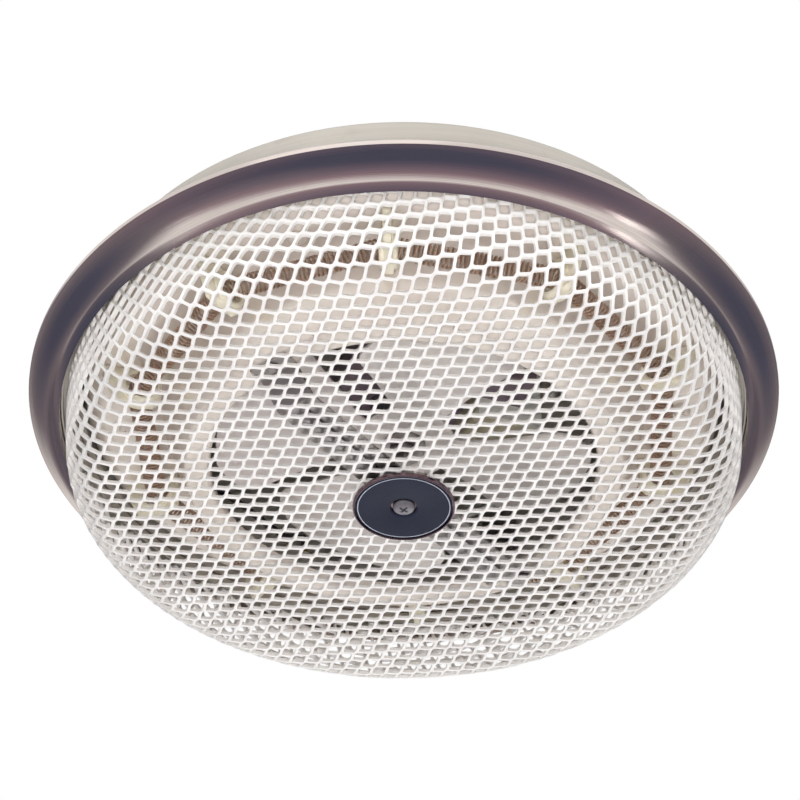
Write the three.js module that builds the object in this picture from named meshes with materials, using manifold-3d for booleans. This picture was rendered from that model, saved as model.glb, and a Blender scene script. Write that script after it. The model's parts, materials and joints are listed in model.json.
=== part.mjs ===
// A round, fan-forced bathroom ceiling heater, seen by its user from below.
// Millimetres, +Z up. The origin is the centre of the face that lies on the ceiling, and the heater hangs
// below it. A drawn drum carries a dished reflector on four brackets. The reflector's middle comes down into
// a throat, with the fan behind it and a shaded-pole motor above the fan. A wound resistance wire runs round
// the reflector's trough through ten ceramic supports. A flared ring is hemmed over the drum's flange, and an
// expanded-metal basket sits in it, held by one screw at the centre that goes into a strap across the throat.
import * as THREE from "three";
import { mergeVertices } from "three/addons/utils/BufferGeometryUtils.js";
import Module from "manifold-3d";

// Stock, clearances and facets
const gap = 0.3; // clearance between neighbouring pieces
const overrun = 3; // how far a cutter runs past the face that it cuts
const ringFacets = 32; // of the large rings, which all start at the same angle
const badgeFacets = 24;
const roundFacets = 12; // of bosses, washers and the like
const boreFacets = 8; // of the ceramic pieces
const holeFacets = 6; // of small screws and their holes
const bendSteps = 2;

// The rim's edge, which the other rings' radii follow
const rimRadius = 143;

// Drum: the housing pan
const drumRadiusShare = 0.865; // of the rim's radius
const drumRadius = rimRadius * drumRadiusShare;
const drumDepth = 31.4;
const drumSheet = 0.8;
const drumCornerRadius = 1.2;
const drumFlangeInset = 2.4; // room at the rim's edge for the trim ring's hem
const drumFlangeRadius = rimRadius - drumFlangeInset;
const keyholeSpacing = 88.9; // the ears of a 4 inch octagonal box
const keyholeAngle = THREE.MathUtils.degToRad(-25);
const keyholeHeadRadius = 5;
const keyholeSlotRadius = 2.4;
const keyholeSlotLength = 9;
const wireHoleRadius = 11.1; // a standard 7/8 inch knockout
const wirePlace = new THREE.Vector3(-20, -48, 0);
const groundScrewPlace = new THREE.Vector3(-47, -32, 0);

// Trim ring: hem over the flange, cove, sloped land inside the lip, and inner wall
const trimSheet = 0.8;
const trimHemWidth = 3.4;
const lipDrop = 9.9; // below the drum's mouth
const lipDepth = drumDepth + lipDrop;
const lipRadiusShare = 0.93; // of the rim's radius
const lipRadius = rimRadius * lipRadiusShare;
const coveHollow = 3.4; // from the cove's chord to its control point
const coveSteps = 3;
const lipWidth = 1.6;
const lipLandDrop = 1.2; // of the sloped land inside the lip's line
const trimLedgeWidth = 5.9;

// Grille basket: expanded metal, drawn from a flat sheet
const basketRecess = 4.2; // from the lip's outside in to the basket's
const basketRadius = lipRadius - basketRecess;
const basketDraft = 1.6; // how much the wall draws in before the corner
const basketCornerRadius = 19;
const basketCrown = 2;
const strandWidth = 2.5;
const strandDepth = 2;
const cellPitch = 20; // coarser than the sheet's own cells of a quarter of an inch
const cellSlant = -0.094; // the rows lie a little off the X axis, in radians
const cellLean = 1.963; // from the X axis to the second row direction, in radians
const cellRowShare = 0.99; // pitch along the second direction, as a share of the first
const cellSkewShares = [0.14, -0.16]; // of the pitch: how far every other corner of a cell is pulled aside
const selvage = 2; // plain sheet left above the cells, below the hem
const leastCellShare = 0.3; // a cell is left out where less of the pitch than this is clear of the selvage
const basketSamples = 90;

// Grille hem: a channel round the basket's cut edge
const hemSheet = 0.6;
const hemGap = 0.9;
const hemHeight = 4.6;

// Badge and grille screw
const badgeRadius = 19.05;
const badgeCupHeight = 2.2;
const badgeCupSheet = 0.7;
const badgeDiscInset = 0.3;
const badgeDimpleRadius = 4.9;
const screwHeadRadius = 4.1;
const screwHeadHeight = 1.9;
const headFlatShare = 0.6; // flat end of a screw or rivet head, as a share of its radius
const screwRadius = 2;
const backingWasherRadius = 16;
const backingWasherThickness = 0.9;

// Grille strap across the throat
const strapAngle = THREE.MathUtils.degToRad(52.5);
const strapWidth = 16;
const strapSheet = 1.2;
const strapBeadWidth = 4;
const strapBeadHeight = 1;
const strapFootLength = 6.4;
const strapFootGap = 0.2; // from the throat's edge to the start of the strap's foot
const strapSlope = 10.2; // of the leg between foot and flat, along the strap
const strapNutRadius = 4.6;
const strapNutHeight = 4;
const rivetRadius = 1.6;
const rivetHeadRadius = 2.6;
const rivetHeadHeight = 1.2;

// Reflector pan
const reflectorSheet = 0.6;
const reflectorClearance = 1.5; // to the drum's inside
const reflectorRadius = drumRadius - drumSheet - reflectorClearance;
const reflectorEdgeWidth = 7.4;
const reflectorEdgeHeight = 5.6;
const troughRadius = reflectorRadius - reflectorEdgeWidth;
const troughDrop = 2.8; // of the trough's floor below the drum's mouth
const troughDepth = drumDepth + troughDrop;
const coneOuterShare = 0.7405; // of the drum's radius
const coneOuterRadius = drumRadius * coneOuterShare;
const troughWidth = troughRadius - coneOuterRadius;
const coneBendHeight = 1.6;
const landWidth = 8;
const throatRadiusShare = 0.598; // of the drum's radius
const throatRadius = drumRadius * throatRadiusShare;
const throatWall = 4;
const throatBendRadius = 1.6;

// Reflector brackets
const bracketAngles = [-111, -3, 69, 177].map(THREE.MathUtils.degToRad);
const bracketWidth = 14;
const bracketSheet = 1.2;
const bracketFootLength = 12;
const bracketInset = 2; // from the trough's outer edge to the inside of the upright leg
const bracketRadius = troughRadius - bracketInset;
const panScrewRadius = 1.9;
const panScrewHeadRadius = 3.4;
const panScrewHeadHeight = 1.9;
const panScrewLength = 6;

// Heater coil and its ceramic supports
const supportCount = 10;
const firstSupportAngle = THREE.MathUtils.degToRad(123);
const coilOffset = 0.2; // of the straight runs' corners from the middle of the trough
const coilCornerRadius = troughRadius - troughWidth / 2 + coilOffset;
const coilDrop = 8.8; // of the coil's axis below the trough's floor
const coilDepth = troughDepth + coilDrop;
const coilDiameter = 8.4;
const coilWire = 1.3;
const coilCurls = 46;
const coilSteps = 8;
const coilSides = 5;
const coilTail = 9; // from an end support's corner to the coil's end
const coilCornerLength = 5; // of each leg of a rounded corner
const supportThickness = 3.2;
const supportClearance = 3; // from the cone to the fin's inner edge
const supportInset = troughWidth / 2 - supportClearance; // from the coil's axis to the fin's inner edge
const supportOverhang = 2.8; // past the trough's floor
const supportReach = troughWidth / 2 + supportOverhang; // from the coil's axis to the fin's outer edge
const supportDrop = 7.6; // from the coil's axis to the fin's lower edge
const supportBore = 5.5;
const supportBoss = 7.6;
const supportBossLength = 6.6;
const supportStubRadius = 2;
const supportStubHeight = 2.2;

// Terminals at the coil's ends
const terminalRadius = 2;
const terminalCrimpLength = 5;
const terminalRise = 7.2; // of the stud's top above the trough's floor
const bushingRadius = 4.6;
const bushingFlangeRadius = 6.4;
const bushingFlange = 1.6;
const bushingCollar = 2.4;

// Motor
const motorAngle = THREE.MathUtils.degToRad(20);
const stackTop = 12;
const stackHeight = 16;
const stackHalfWidth = 30;
const stackBack = 28; // from the shaft to the plain end
const stackFront = 43; // from the shaft to the outside of the coil's leg
const stackLeg = 10;
const stackWindow = 11;
const rotorRadius = 12.6;
const airGap = 0.5;
const motorScrewInset = 5.5; // from the stack's side
const motorScrewRadius = 1.8;
const motorScrewHeadRadius = 3.6;
const motorScrewHeadHeight = 2.2;
const bobbinFlange = 1.4;
const bobbinWall = 1;
const windingRise = 8.4; // how far the winding stands off the bobbin
const windingRounding = 4;
const bobbinFlangeShare = 0.9; // height of the bobbin's flanges, as a share of the winding's
const shadingWire = 1.8;
const shadingOffset = 17;
const bearingArmThickness = 1.6;
const bearingArmWidth = 13;
const bearingBossRadius = 8;
const bearingBossHeight = 4.6;
const motorBracketSheet = 1.2;
const motorBracketWidth = 30;
const motorBracketFoot = 12;
const motorBracketRoom = 8; // from the stack's side to the outside of each leg
const shaftRadius = 3;
const shaftProud = 8.6; // of the shaft's end below the fan

// Fan, which sets how deep the throat and the grille lie
const fanDrop = 11; // below the motor's winding
const fanDepth = stackTop + stackHeight + windingRise + fanDrop;
const fanClearance = 3; // to the throat
const fanRadius = throatRadius - fanClearance;
const fanSheet = 1;
const fanDiscRadius = 21;
const bladeCount = 4;
const firstBladeAngle = THREE.MathUtils.degToRad(18);
const bladePitch = THREE.MathUtils.degToRad(14);
const bladeRoot = 15;
const bladeRootHalfAngle = THREE.MathUtils.degToRad(21);
const bladeTipHalfAngle = THREE.MathUtils.degToRad(36);
const bladeTipStartShare = 0.8; // of the fan's radius, where the rounded tip starts
const bladeTipRoundShare = 0.42; // how much of the half angle the rounded tip takes away at its end
const bladeTwistEndShare = 1.7; // of the disc's radius, where a blade has its full pitch
const bladeRings = 5;
const bladeChords = 5;
const hubRadius = 8;
const hubRise = 6.4; // above the fan's disc
const hubDrop = 3;
const hubFlangeRadius = 12;
const hubFlangeThickness = 1.6;
const setScrewRadius = 1.8;
const retainerRadius = 6;
const retainerHeight = 2.6;
const landDrop = 14.1; // of the throat's land below the fan
const landDepth = fanDepth + landDrop;
const basketDrop = 12.7; // of the grille's face below the throat's land
const basketDepth = landDepth + basketDrop; // outside of the face, at the corner
const shaftEndDepth = fanDepth + shaftProud;

// Limit switch, fuse, bushing, ground screw and leads
const limitRadius = 8;
const limitHeight = 6.5;
const limitFlangeLength = 20;
const limitFlangeWidth = 8;
const limitFlangeThickness = 1;
const limitTabLength = 7;
const limitTabWidth = 4.8;
const limitTabThickness = 0.8;
const switchInset = 1; // inwards from the coil's corners
const switchRadius = coilCornerRadius - switchInset;
const fuseRadius = 2;
const fuseLength = 13;
const wireBushingBore = 7.6;
const wireBushingFlangeRadius = 13.4;
const wireBushingFlange = 1.6;
const groundScrewHeadRadius = 4.4;
const groundScrewHeadHeight = 2.4;
const groundScrewRadius = 2;
const leadRadius = 1.3;
const leadSides = 6;
const leadSteps = 2; // straight pieces between two points of a route
const leadBendHeight = 6; // above a tab or a stud, before a lead turns aside
const lineLeadShares = [
  [-0.42, -0.5, 0.255],
  [-0.639, -0.226, 0.255],
  [-0.68, 0.1, 0.255],
  [-0.7, 0.36, 0.27],
];
const heaterLeadShares = [
  [-0.53, 0.68, 0.3],
  [-0.4, 0.8, 0.42],
];
const neutralLeadShares = [
  [0.097, -0.534, 0.255],
  [0.469, -0.453, 0.255],
  [0.663, -0.162, 0.255],
  [0.663, 0.194, 0.255],
  [0.469, 0.534, 0.318],
  [0.162, 0.728, 0.382],
];
const motorLeadShares = [
  [0, -1.5, 0.583],
  [1.133, -1.267, 0.667],
  [2, -0.6, 0.917],
];

const wasm = await Module();
wasm.setup();

function material(color, roughness, metalness) {
  return new THREE.MeshStandardMaterial({ color, roughness, metalness });
}

const satinAluminium = material(0xb9b6b0, 0.4, 1);
const rimAluminium = material(0x8b8591, 0.3, 1);
const grilleAluminium = material(0xdcdad6, 0.25, 1);
const brightAluminium = material(0xd8d6d2, 0.15, 1);
const fanAluminium = material(0xc9c8c6, 0.25, 1);
const platedSteel = material(0xb4b2ae, 0.35, 1);
const darkSteel = material(0x3b3a3c, 0.5, 0.8);
const laminations = material(0x23282a, 0.6, 0.5);
const copper = material(0xa8643c, 0.35, 1);
const brass = material(0xb08d4a, 0.35, 1);
const nichrome = material(0x5d4638, 0.45, 0.9);
const ceramic = material(0xe6e0cc, 0.55, 0);
const creamWrap = material(0xd9d0b4, 0.7, 0);
const darkPlastic = material(0x2b303d, 0.35, 0);
const whitePlastic = material(0xe4e2dc, 0.5, 0);
const blackSleeve = material(0x1c1c1e, 0.6, 0);
const whiteSleeve = material(0xdcdad4, 0.6, 0);

const upright = new THREE.Vector3(0, 0, 1);
const sideways = new THREE.Vector3(1, 0, 0);
const point = (x, y) => new THREE.Vector2(x, y);

// Points along an arc in the plane of an outline, both ends included.
function arc(centre, radius, from, to, steps = bendSteps) {
  return Array.from({ length: steps + 1 }, (_, i) => {
    const angle = from + ((to - from) * i) / steps;
    return point(centre.x + radius * Math.cos(angle), centre.y + radius * Math.sin(angle));
  });
}

// The closed outline of a sheet of even thickness whose middle line runs through the points.
function sheetOutline(line, thickness) {
  const left = [];
  const right = [];
  line.forEach((p, i) => {
    const towards = line[Math.min(i + 1, line.length - 1)].clone();
    const from = line[Math.max(i - 1, 0)].clone();
    const before = i > 0 ? p.clone().sub(from).normalize() : towards.clone().sub(p).normalize();
    const after = i < line.length - 1 ? towards.clone().sub(p).normalize() : before.clone();
    const normal = point(-before.y - after.y, before.x + after.x).normalize();
    const reach = thickness / 2 / normal.dot(point(-before.y, before.x));
    left.push(p.clone().addScaledVector(normal, reach));
    right.push(p.clone().addScaledVector(normal, -reach));
  });
  return [...left, ...right.reverse()];
}

// A body of revolution about Z from an outline of (radius, z) points.
function revolve(outline, facets = ringFacets) {
  const points = outline.map((p) => p.clone());
  if (THREE.ShapeUtils.isClockWise(points)) points.reverse();
  points.push(points[0].clone());
  return new THREE.LatheGeometry(points, facets).rotateX(Math.PI / 2);
}

// A round bar along Z from one height down to another.
function bar(radius, top, bottom, facets = holeFacets) {
  return new THREE.CylinderGeometry(radius, radius, top - bottom, facets)
    .rotateX(Math.PI / 2)
    .translate(0, 0, (top + bottom) / 2);
}

// A box given by its lowest and highest corner.
function block(x0, x1, y0, y1, z0, z1) {
  const box = new THREE.BoxGeometry(x1 - x0, y1 - y0, z1 - z0);
  return box.translate((x0 + x1) / 2, (y0 + y1) / 2, (z0 + z1) / 2);
}

// An outline in the XY plane, extruded from one height down to another.
function slab(outline, top, bottom, holes = []) {
  const shape = new THREE.Shape(outline);
  shape.holes = holes.map((hole) => new THREE.Path(hole));
  const options = { depth: top - bottom, bevelEnabled: false, curveSegments: holeFacets };
  return new THREE.ExtrudeGeometry(shape, options).translate(0, 0, bottom);
}

// An outline of (x, z) points, extruded evenly either side of the XZ plane.
function slice(outline, width) {
  const shape = new THREE.Shape(outline);
  return new THREE.ExtrudeGeometry(shape, { depth: width, bevelEnabled: false })
    .translate(0, 0, -width / 2)
    .rotateX(Math.PI / 2);
}

// A closed three.js geometry as a manifold-3d solid.
function toSolid(geometry) {
  const bare = geometry.clone();
  bare.deleteAttribute("normal");
  bare.deleteAttribute("uv");
  const merged = mergeVertices(bare, 1e-4);
  return new wasm.Manifold(
    new wasm.Mesh({
      numProp: 3,
      vertProperties: new Float32Array(merged.attributes.position.array),
      triVerts: new Uint32Array(merged.index.array),
    }),
  );
}

// A manifold-3d solid as a three.js geometry.
function toGeometry(solid) {
  const mesh = solid.getMesh();
  const geometry = new THREE.BufferGeometry();
  const places = new Float32Array(mesh.vertProperties);
  geometry.setAttribute("position", new THREE.BufferAttribute(places, mesh.numProp));
  geometry.setIndex(new THREE.BufferAttribute(new Uint32Array(mesh.triVerts), 1));
  const faceted = geometry.toNonIndexed();
  faceted.computeVertexNormals();
  return faceted;
}

// The first geometries joined, less the others.
function carve(bodies, cutters = []) {
  const joined = bodies.map(toSolid).reduce((a, b) => a.add(b));
  return toGeometry(cutters.map(toSolid).reduce((a, b) => a.subtract(b), joined));
}

// A closed body from lists of vertices and triangles.
function meshGeometry(vertices, triangles) {
  const geometry = new THREE.BufferGeometry();
  const places = vertices.flatMap((v) => [v.x, v.y, v.z]);
  geometry.setAttribute("position", new THREE.Float32BufferAttribute(places, 3));
  geometry.setIndex(triangles.flat());
  const faceted = geometry.toNonIndexed();
  faceted.computeVertexNormals();
  return faceted;
}

// A headed pin pointing up: the head's upper face, the shank and its end, and at a rivet's end a second head.
function headedPin(headRadius, headHeight, shankRadius, headTop, end, facets = holeFacets, tailRadius = 0) {
  const tail = tailRadius
    ? [
        point(tailRadius, end),
        point(tailRadius * headFlatShare, end + headHeight),
        point(0, end + headHeight),
      ]
    : [point(0, end)];
  return revolve(
    [
      point(0, headTop - headHeight),
      point(headRadius * headFlatShare, headTop - headHeight),
      point(headRadius, headTop - headHeight / 2),
      point(headRadius, headTop),
      point(shankRadius, headTop),
      point(shankRadius, end),
      ...tail,
    ],
    facets,
  );
}

// A closed tube through the centres, whose section is carried along without twist.
function tube(centres, radius, sides) {
  const vertices = [];
  const triangles = [];
  const first = centres[1].clone().sub(centres[0]).normalize();
  const across = first.clone().cross(Math.abs(first.z) < Math.SQRT1_2 ? upright : sideways);
  centres.forEach((centre, i) => {
    const last = centres[Math.max(i - 1, 0)];
    const next = centres[Math.min(i + 1, centres.length - 1)];
    const along = next.clone().sub(last).normalize();
    across.projectOnPlane(along).setLength(radius);
    const over = along.clone().cross(across);
    for (let k = 0; k < sides; k++) {
      const turn = (k / sides) * 2 * Math.PI;
      const side = centre.clone().addScaledVector(across, Math.cos(turn));
      vertices.push(side.addScaledVector(over, Math.sin(turn)));
    }
  });
  for (let i = 0; i + 1 < centres.length; i++) {
    for (let k = 0; k < sides; k++) {
      const [a, b] = [i * sides + k, i * sides + ((k + 1) % sides)];
      triangles.push([a, b, b + sides], [a, b + sides, a + sides]);
    }
  }
  const lastRing = (centres.length - 1) * sides;
  for (let k = 1; k + 1 < sides; k++) {
    triangles.push([0, k + 1, k], [lastRing, lastRing + k, lastRing + k + 1]);
  }
  return meshGeometry(vertices, triangles);
}

const polar = (radius, angle, z = 0) =>
  new THREE.Vector3(radius * Math.cos(angle), radius * Math.sin(angle), z);

function addMesh(group, name, geometry, look) {
  const mesh = new THREE.Mesh(geometry, look);
  mesh.name = name;
  group.add(mesh);
  return mesh;
}

// Heights that several pieces share, all below the ceiling plane
const drumFloor = -drumSheet; // the underside of the drum's back
const ledgeUnder = -drumDepth - gap - trimSheet;
const hemTop = ledgeUnder - gap;
const basketTop = hemTop - hemSheet - hemGap;
const troughUnder = -troughDepth - reflectorSheet / 2;
const troughOver = -troughDepth + reflectorSheet / 2;
const reflectorEdgeDepth = troughDepth - reflectorEdgeHeight;
const terminalTop = -troughDepth + terminalRise;
const landUnder = -landDepth - reflectorSheet / 2;
const landOver = -landDepth + reflectorSheet / 2;
const supportAngles = Array.from(
  { length: supportCount },
  (_, i) => firstSupportAngle + (i * 2 * Math.PI) / supportCount,
);
const supportTurn = (2 * Math.PI) / supportCount;
// The rounded corner of the coil's path passes a little inside the corner of its ten straight runs.
const supportRadius = coilCornerRadius - (coilCornerLength * Math.sin(supportTurn / 2)) / 2;
const supportStubDistance = supportRadius + supportReach / 2;
const panScrewDistance = bracketRadius - bracketFootLength / 2;

// Housing

// A slot for a box screw, open at its far end to a hole that the screw's head passes.
function keyhole(angle) {
  const x = keyholeSpacing / 2;
  return [
    bar(keyholeHeadRadius, overrun, -overrun, roundFacets).translate(x, keyholeSlotLength, 0),
    bar(keyholeSlotRadius, overrun, -overrun).translate(x, 0, 0),
    block(x - keyholeSlotRadius, x + keyholeSlotRadius, 0, keyholeSlotLength, -overrun, overrun),
  ].map((cutter) => cutter.rotateZ(angle));
}

function housingPan() {
  const middle = drumRadius - drumSheet / 2;
  const top = -drumSheet / 2;
  const flange = -drumDepth + drumSheet / 2;
  const line = [
    point(0, top),
    ...arc(point(middle - drumCornerRadius, top - drumCornerRadius), drumCornerRadius, Math.PI / 2, 0),
    point(middle, flange),
    point(drumFlangeRadius, flange),
  ];
  return carve(
    [revolve(sheetOutline(line, drumSheet))],
    [
      ...keyhole(keyholeAngle),
      ...keyhole(keyholeAngle + Math.PI),
      bar(wireHoleRadius, overrun, -overrun, roundFacets).translate(...wirePlace),
      bar(groundScrewRadius + gap, overrun, -overrun).translate(...groundScrewPlace),
    ],
  );
}

// The trim ring's hem goes over the flange's edge, and its ledge closes the space under the flange.
function trimRing() {
  const half = trimSheet / 2;
  const top = -drumDepth + drumSheet + gap + half;
  const ledge = ledgeUnder + half;
  const edge = rimRadius - half;
  const bend = (top - ledge) / 2;
  const hem = [
    point(edge - bend - trimHemWidth, top),
    ...arc(point(edge - bend, top - bend), bend, Math.PI / 2, 0),
  ];
  const fold = -lipDepth + half;
  const coveStart = point(edge, ledge);
  const coveEnd = point(lipRadius - half, fold);
  const hollow = point(coveEnd.y - coveStart.y, coveStart.x - coveEnd.x).setLength(coveHollow);
  const control = coveStart.clone().lerp(coveEnd, 1 / 2).add(hollow);
  const cove = new THREE.QuadraticBezierCurve(coveStart, control, coveEnd).getPoints(coveSteps);
  const inner = lipRadius - half - lipWidth;
  const line = [
    ...hem,
    ...cove,
    point(inner, fold - lipLandDrop),
    point(inner, ledge),
    point(inner - trimLedgeWidth, ledge),
  ];
  return revolve(sheetOutline(line, trimSheet));
}

// Grille

// The basket's meridian on its inner side, from the centre of the face out and up to the cut edge.
// Each sample holds its place, the sheet's outward normal, and the radius it had in the flat sheet, which the
// draw moves out so that each ring of metal keeps its area.
function basketMeridian() {
  const inner = strandDepth;
  const wallTop = point(basketRadius - inner, basketTop);
  const wallFoot = basketRadius - inner - basketDraft;
  const cornerRadius = basketCornerRadius - inner;
  const faceDepth = -basketDepth + inner;
  const corner = point(wallFoot - cornerRadius, faceDepth + cornerRadius);
  const face = new THREE.QuadraticBezierCurve(
    point(0, faceDepth - basketCrown),
    point(corner.x / 2, faceDepth - basketCrown),
    point(corner.x, faceDepth),
  );
  const path = new THREE.Path(face.getPoints(basketSamples / 3));
  arc(corner, cornerRadius, -Math.PI / 2, 0, basketSamples / 3).forEach((p) => path.lineTo(p.x, p.y));
  path.lineTo(wallTop.x, wallTop.y);
  const places = path.getSpacedPoints(basketSamples);
  let flatSquare = 0;
  return places.map((p, i) => {
    const last = places[Math.max(i - 1, 0)];
    const next = places[Math.min(i + 1, places.length - 1)];
    flatSquare += p.distanceTo(last) * (p.x + last.x);
    const along = next.clone().sub(last).normalize();
    return { place: p, normal: point(along.y, -along.x), flat: Math.sqrt(flatSquare) };
  });
}

// Puts a point of the flat sheet on the drawn basket, raised outwards by a height.
function drawSheet(meridian, flatPoint, height) {
  const flat = Math.min(flatPoint.length(), meridian.at(-1).flat);
  const i = Math.max(1, meridian.findIndex((s) => s.flat >= flat));
  const [a, b] = [meridian[i - 1], meridian[i]];
  const share = (flat - a.flat) / (b.flat - a.flat);
  const place = a.place.clone().lerp(b.place, share);
  const normal = a.normal.clone().lerp(b.normal, share).normalize();
  place.addScaledVector(normal, height);
  const angle = flatPoint.angle();
  return new THREE.Vector3(place.x * Math.cos(angle), place.x * Math.sin(angle), place.y);
}

// The basket's strands: a flat back and a ridge in front, round six-sided cells, with a plain selvage at the
// cut edge.
function grilleBasket() {
  const meridian = basketMeridian();
  const sheetRadius = meridian.at(-1).flat;
  const rowStep = point(cellPitch, 0).rotateAround(point(0, 0), cellSlant);
  const columnStep = point(cellPitch * cellRowShare, 0).rotateAround(point(0, 0), cellLean);
  // The stretch pulls alternate corners aside, so that a cell leans and its upper and lower strands lie flat.
  const skew = point(...cellSkewShares).multiplyScalar(cellPitch);
  const bandRadius = sheetRadius - hemHeight;
  const openRadius = bandRadius - selvage;
  const holeShare = (cellPitch - strandWidth) / cellPitch;
  const corners = [
    [2, 1],
    [1, 2],
    [-1, 1],
    [-2, -1],
    [-1, -2],
    [1, -1],
  ];
  const neighbours = [
    [1, 1],
    [0, 1],
    [-1, 0],
    [-1, -1],
    [0, -1],
    [1, 0],
  ];
  const lattice = (a, b) => point(0, 0).addScaledVector(rowStep, a).addScaledVector(columnStep, b);
  const reach = Math.ceil(sheetRadius / (cellPitch * Math.sin(Math.PI / 3))) + 1;
  const cells = new Map();
  for (let a = -reach; a <= reach; a++) {
    for (let b = -reach; b <= reach; b++) {
      // A cell that reaches the selvage is cut short by it.
      const outline = corners.map(([p, q], k) => {
        const corner = lattice(a + p / 3, b + q / 3).addScaledVector(skew, k % 2 ? 1 : -1);
        return corner.clampLength(0, openRadius);
      });
      const centre = outline.reduce((sum, p) => sum.addScaledVector(p, 1 / outline.length), point(0, 0));
      if (lattice(a, b).length() + cellPitch * leastCellShare < openRadius) {
        cells.set(`${a},${b}`, { a, b, outline, centre });
      }
    }
  }

  const vertices = [];
  const triangles = [];
  const shared = new Map();
  const vertex = (key, flatPoint, height) => {
    if (!shared.has(key)) {
      shared.set(key, vertices.length);
      vertices.push(drawSheet(meridian, flatPoint, height));
    }
    return shared.get(key);
  };
  // A corner is named by three times its place in the lattice, which is whole.
  const cornerKey = (cell, k) => `${3 * cell.a + corners[k][0]},${3 * cell.b + corners[k][1]}`;
  const ridge = (cell, k) => vertex(`ridge ${cornerKey(cell, k)}`, cell.outline[k], strandDepth);
  const back = (cell, k) => vertex(`back ${cornerKey(cell, k)}`, cell.outline[k], 0);
  const hole = (cell, k) => {
    const place = cell.centre.clone().lerp(cell.outline[k], holeShare);
    return vertex(`hole ${cell.a},${cell.b} ${k}`, place, 0);
  };
  const quad = (a, b, c, d) => triangles.push([a, b, c], [a, c, d]);

  const edgeLoop = new Map();
  const backCorners = new Map();
  for (const cell of cells.values()) {
    for (let k = 0; k < 6; k++) {
      const next = (k + 1) % 6;
      quad(ridge(cell, k), hole(cell, k), hole(cell, next), ridge(cell, next));
      const other = cells.get(`${cell.a + neighbours[k][0]},${cell.b + neighbours[k][1]}`);
      const holders = backCorners.get(cornerKey(cell, k)) ?? [];
      holders.push([cell, k]);
      backCorners.set(cornerKey(cell, k), holders);
      if (!other) {
        quad(hole(cell, k), back(cell, k), back(cell, next), hole(cell, next));
        edgeLoop.set(cornerKey(cell, k), { to: cornerKey(cell, next), cell, k });
      } else if (cell.a < other.a || (cell.a === other.a && cell.b < other.b)) {
        const m = (k + 3) % 6;
        quad(hole(cell, k), hole(other, (m + 1) % 6), hole(other, m), hole(cell, next));
      }
    }
  }
  for (const holders of backCorners.values()) {
    if (holders.length < 2) continue;
    const around = holders
      .map(([cell, k]) => ({ id: hole(cell, k), turn: lattice(cell.a, cell.b).sub(cell.outline[k]).angle() }))
      .sort((p, q) => p.turn - q.turn);
    if (holders.length === 3) {
      triangles.push(around.map((h) => h.id));
      continue;
    }
    const near = around[1].turn - around[0].turn < Math.PI;
    const pair = near ? [around[0].id, around[1].id] : [around[1].id, around[0].id];
    triangles.push([...pair, back(...holders[0])]);
  }

  // The selvage runs from the cells' outline to a band of even facets at the cut edge, which the hem grips.
  const loop = [];
  const start = edgeLoop.keys().next().value;
  for (let key = start; loop.length === 0 || key !== start; key = edgeLoop.get(key).to) {
    loop.push(edgeLoop.get(key));
  }
  const outlinePoints = loop.map(({ cell, k }) => cell.outline[k]);
  const circle = (radius) => arc(point(0, 0), radius, 0, 2 * Math.PI, ringFacets).slice(0, ringFacets);
  const ringIds = (radius, height) =>
    circle(radius).map((p, i) => vertex(`${radius} ${height} ${i}`, p, height));
  const frontEdge = ringIds(sheetRadius, strandDepth);
  const backEdge = ringIds(sheetRadius, 0);
  const frontIds = [...ringIds(bandRadius, strandDepth), ...loop.map(({ cell, k }) => ridge(cell, k))];
  const backIds = [...ringIds(bandRadius, 0), ...loop.map(({ cell, k }) => back(cell, k))];
  for (const [p, q, r] of THREE.ShapeUtils.triangulateShape(circle(bandRadius), [outlinePoints])) {
    triangles.push([backIds[p], backIds[q], backIds[r]]);
    triangles.push([frontIds[p], frontIds[r], frontIds[q]]);
  }
  for (let i = 0; i < ringFacets; i++) {
    const next = (i + 1) % ringFacets;
    quad(backEdge[i], frontEdge[i], frontEdge[next], backEdge[next]);
    quad(backIds[i], backEdge[i], backEdge[next], backIds[next]);
    quad(frontIds[i], frontIds[next], frontEdge[next], frontEdge[i]);
  }
  return meshGeometry(vertices, triangles);
}

function grilleHem() {
  const half = hemSheet / 2;
  const outer = basketRadius + hemGap + half;
  const inner = basketRadius - strandDepth - hemGap - half;
  const top = hemTop - half;
  const bottom = hemTop - hemHeight;
  const line = [point(inner, bottom), point(inner, top), point(outer, top), point(outer, bottom)];
  return revolve(sheetOutline(line, hemSheet));
}

// Badge, screw, backing washer and strap, all on the axis

const faceRidge = -basketDepth - basketCrown; // front of the grille at the centre
const faceBack = faceRidge + strandDepth;
const cupBack = faceRidge - gap;
const cupFloor = cupBack - badgeCupSheet;
const discBack = cupFloor - gap;
const discFront = cupBack - badgeCupHeight + badgeDiscInset;
const washerBottom = faceBack + gap;
const strapBeadBottom = washerBottom + backingWasherThickness + gap;
const strapBottom = strapBeadBottom + strapBeadHeight;
const strapTop = strapBottom + strapSheet;

function badgeCup() {
  const rim = badgeRadius - badgeCupSheet;
  return revolve(
    [
      point(screwRadius + gap, cupBack),
      point(badgeRadius, cupBack),
      point(badgeRadius, cupBack - badgeCupHeight),
      point(rim, cupBack - badgeCupHeight),
      point(rim, cupFloor),
      point(screwRadius + gap, cupFloor),
    ],
    badgeFacets,
  );
}

function badgeDisc() {
  const radius = badgeRadius - badgeCupSheet - gap;
  return revolve(
    [
      point(badgeDimpleRadius, discBack),
      point(radius, discBack),
      point(radius, discFront),
      point(badgeDimpleRadius, discFront),
    ],
    badgeFacets,
  );
}

function grilleScrew() {
  const headTop = cupFloor - gap;
  const shankTop = strapTop + gap + strapNutHeight + gap;
  return headedPin(screwHeadRadius, screwHeadHeight, screwRadius, headTop, shankTop, roundFacets);
}

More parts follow.
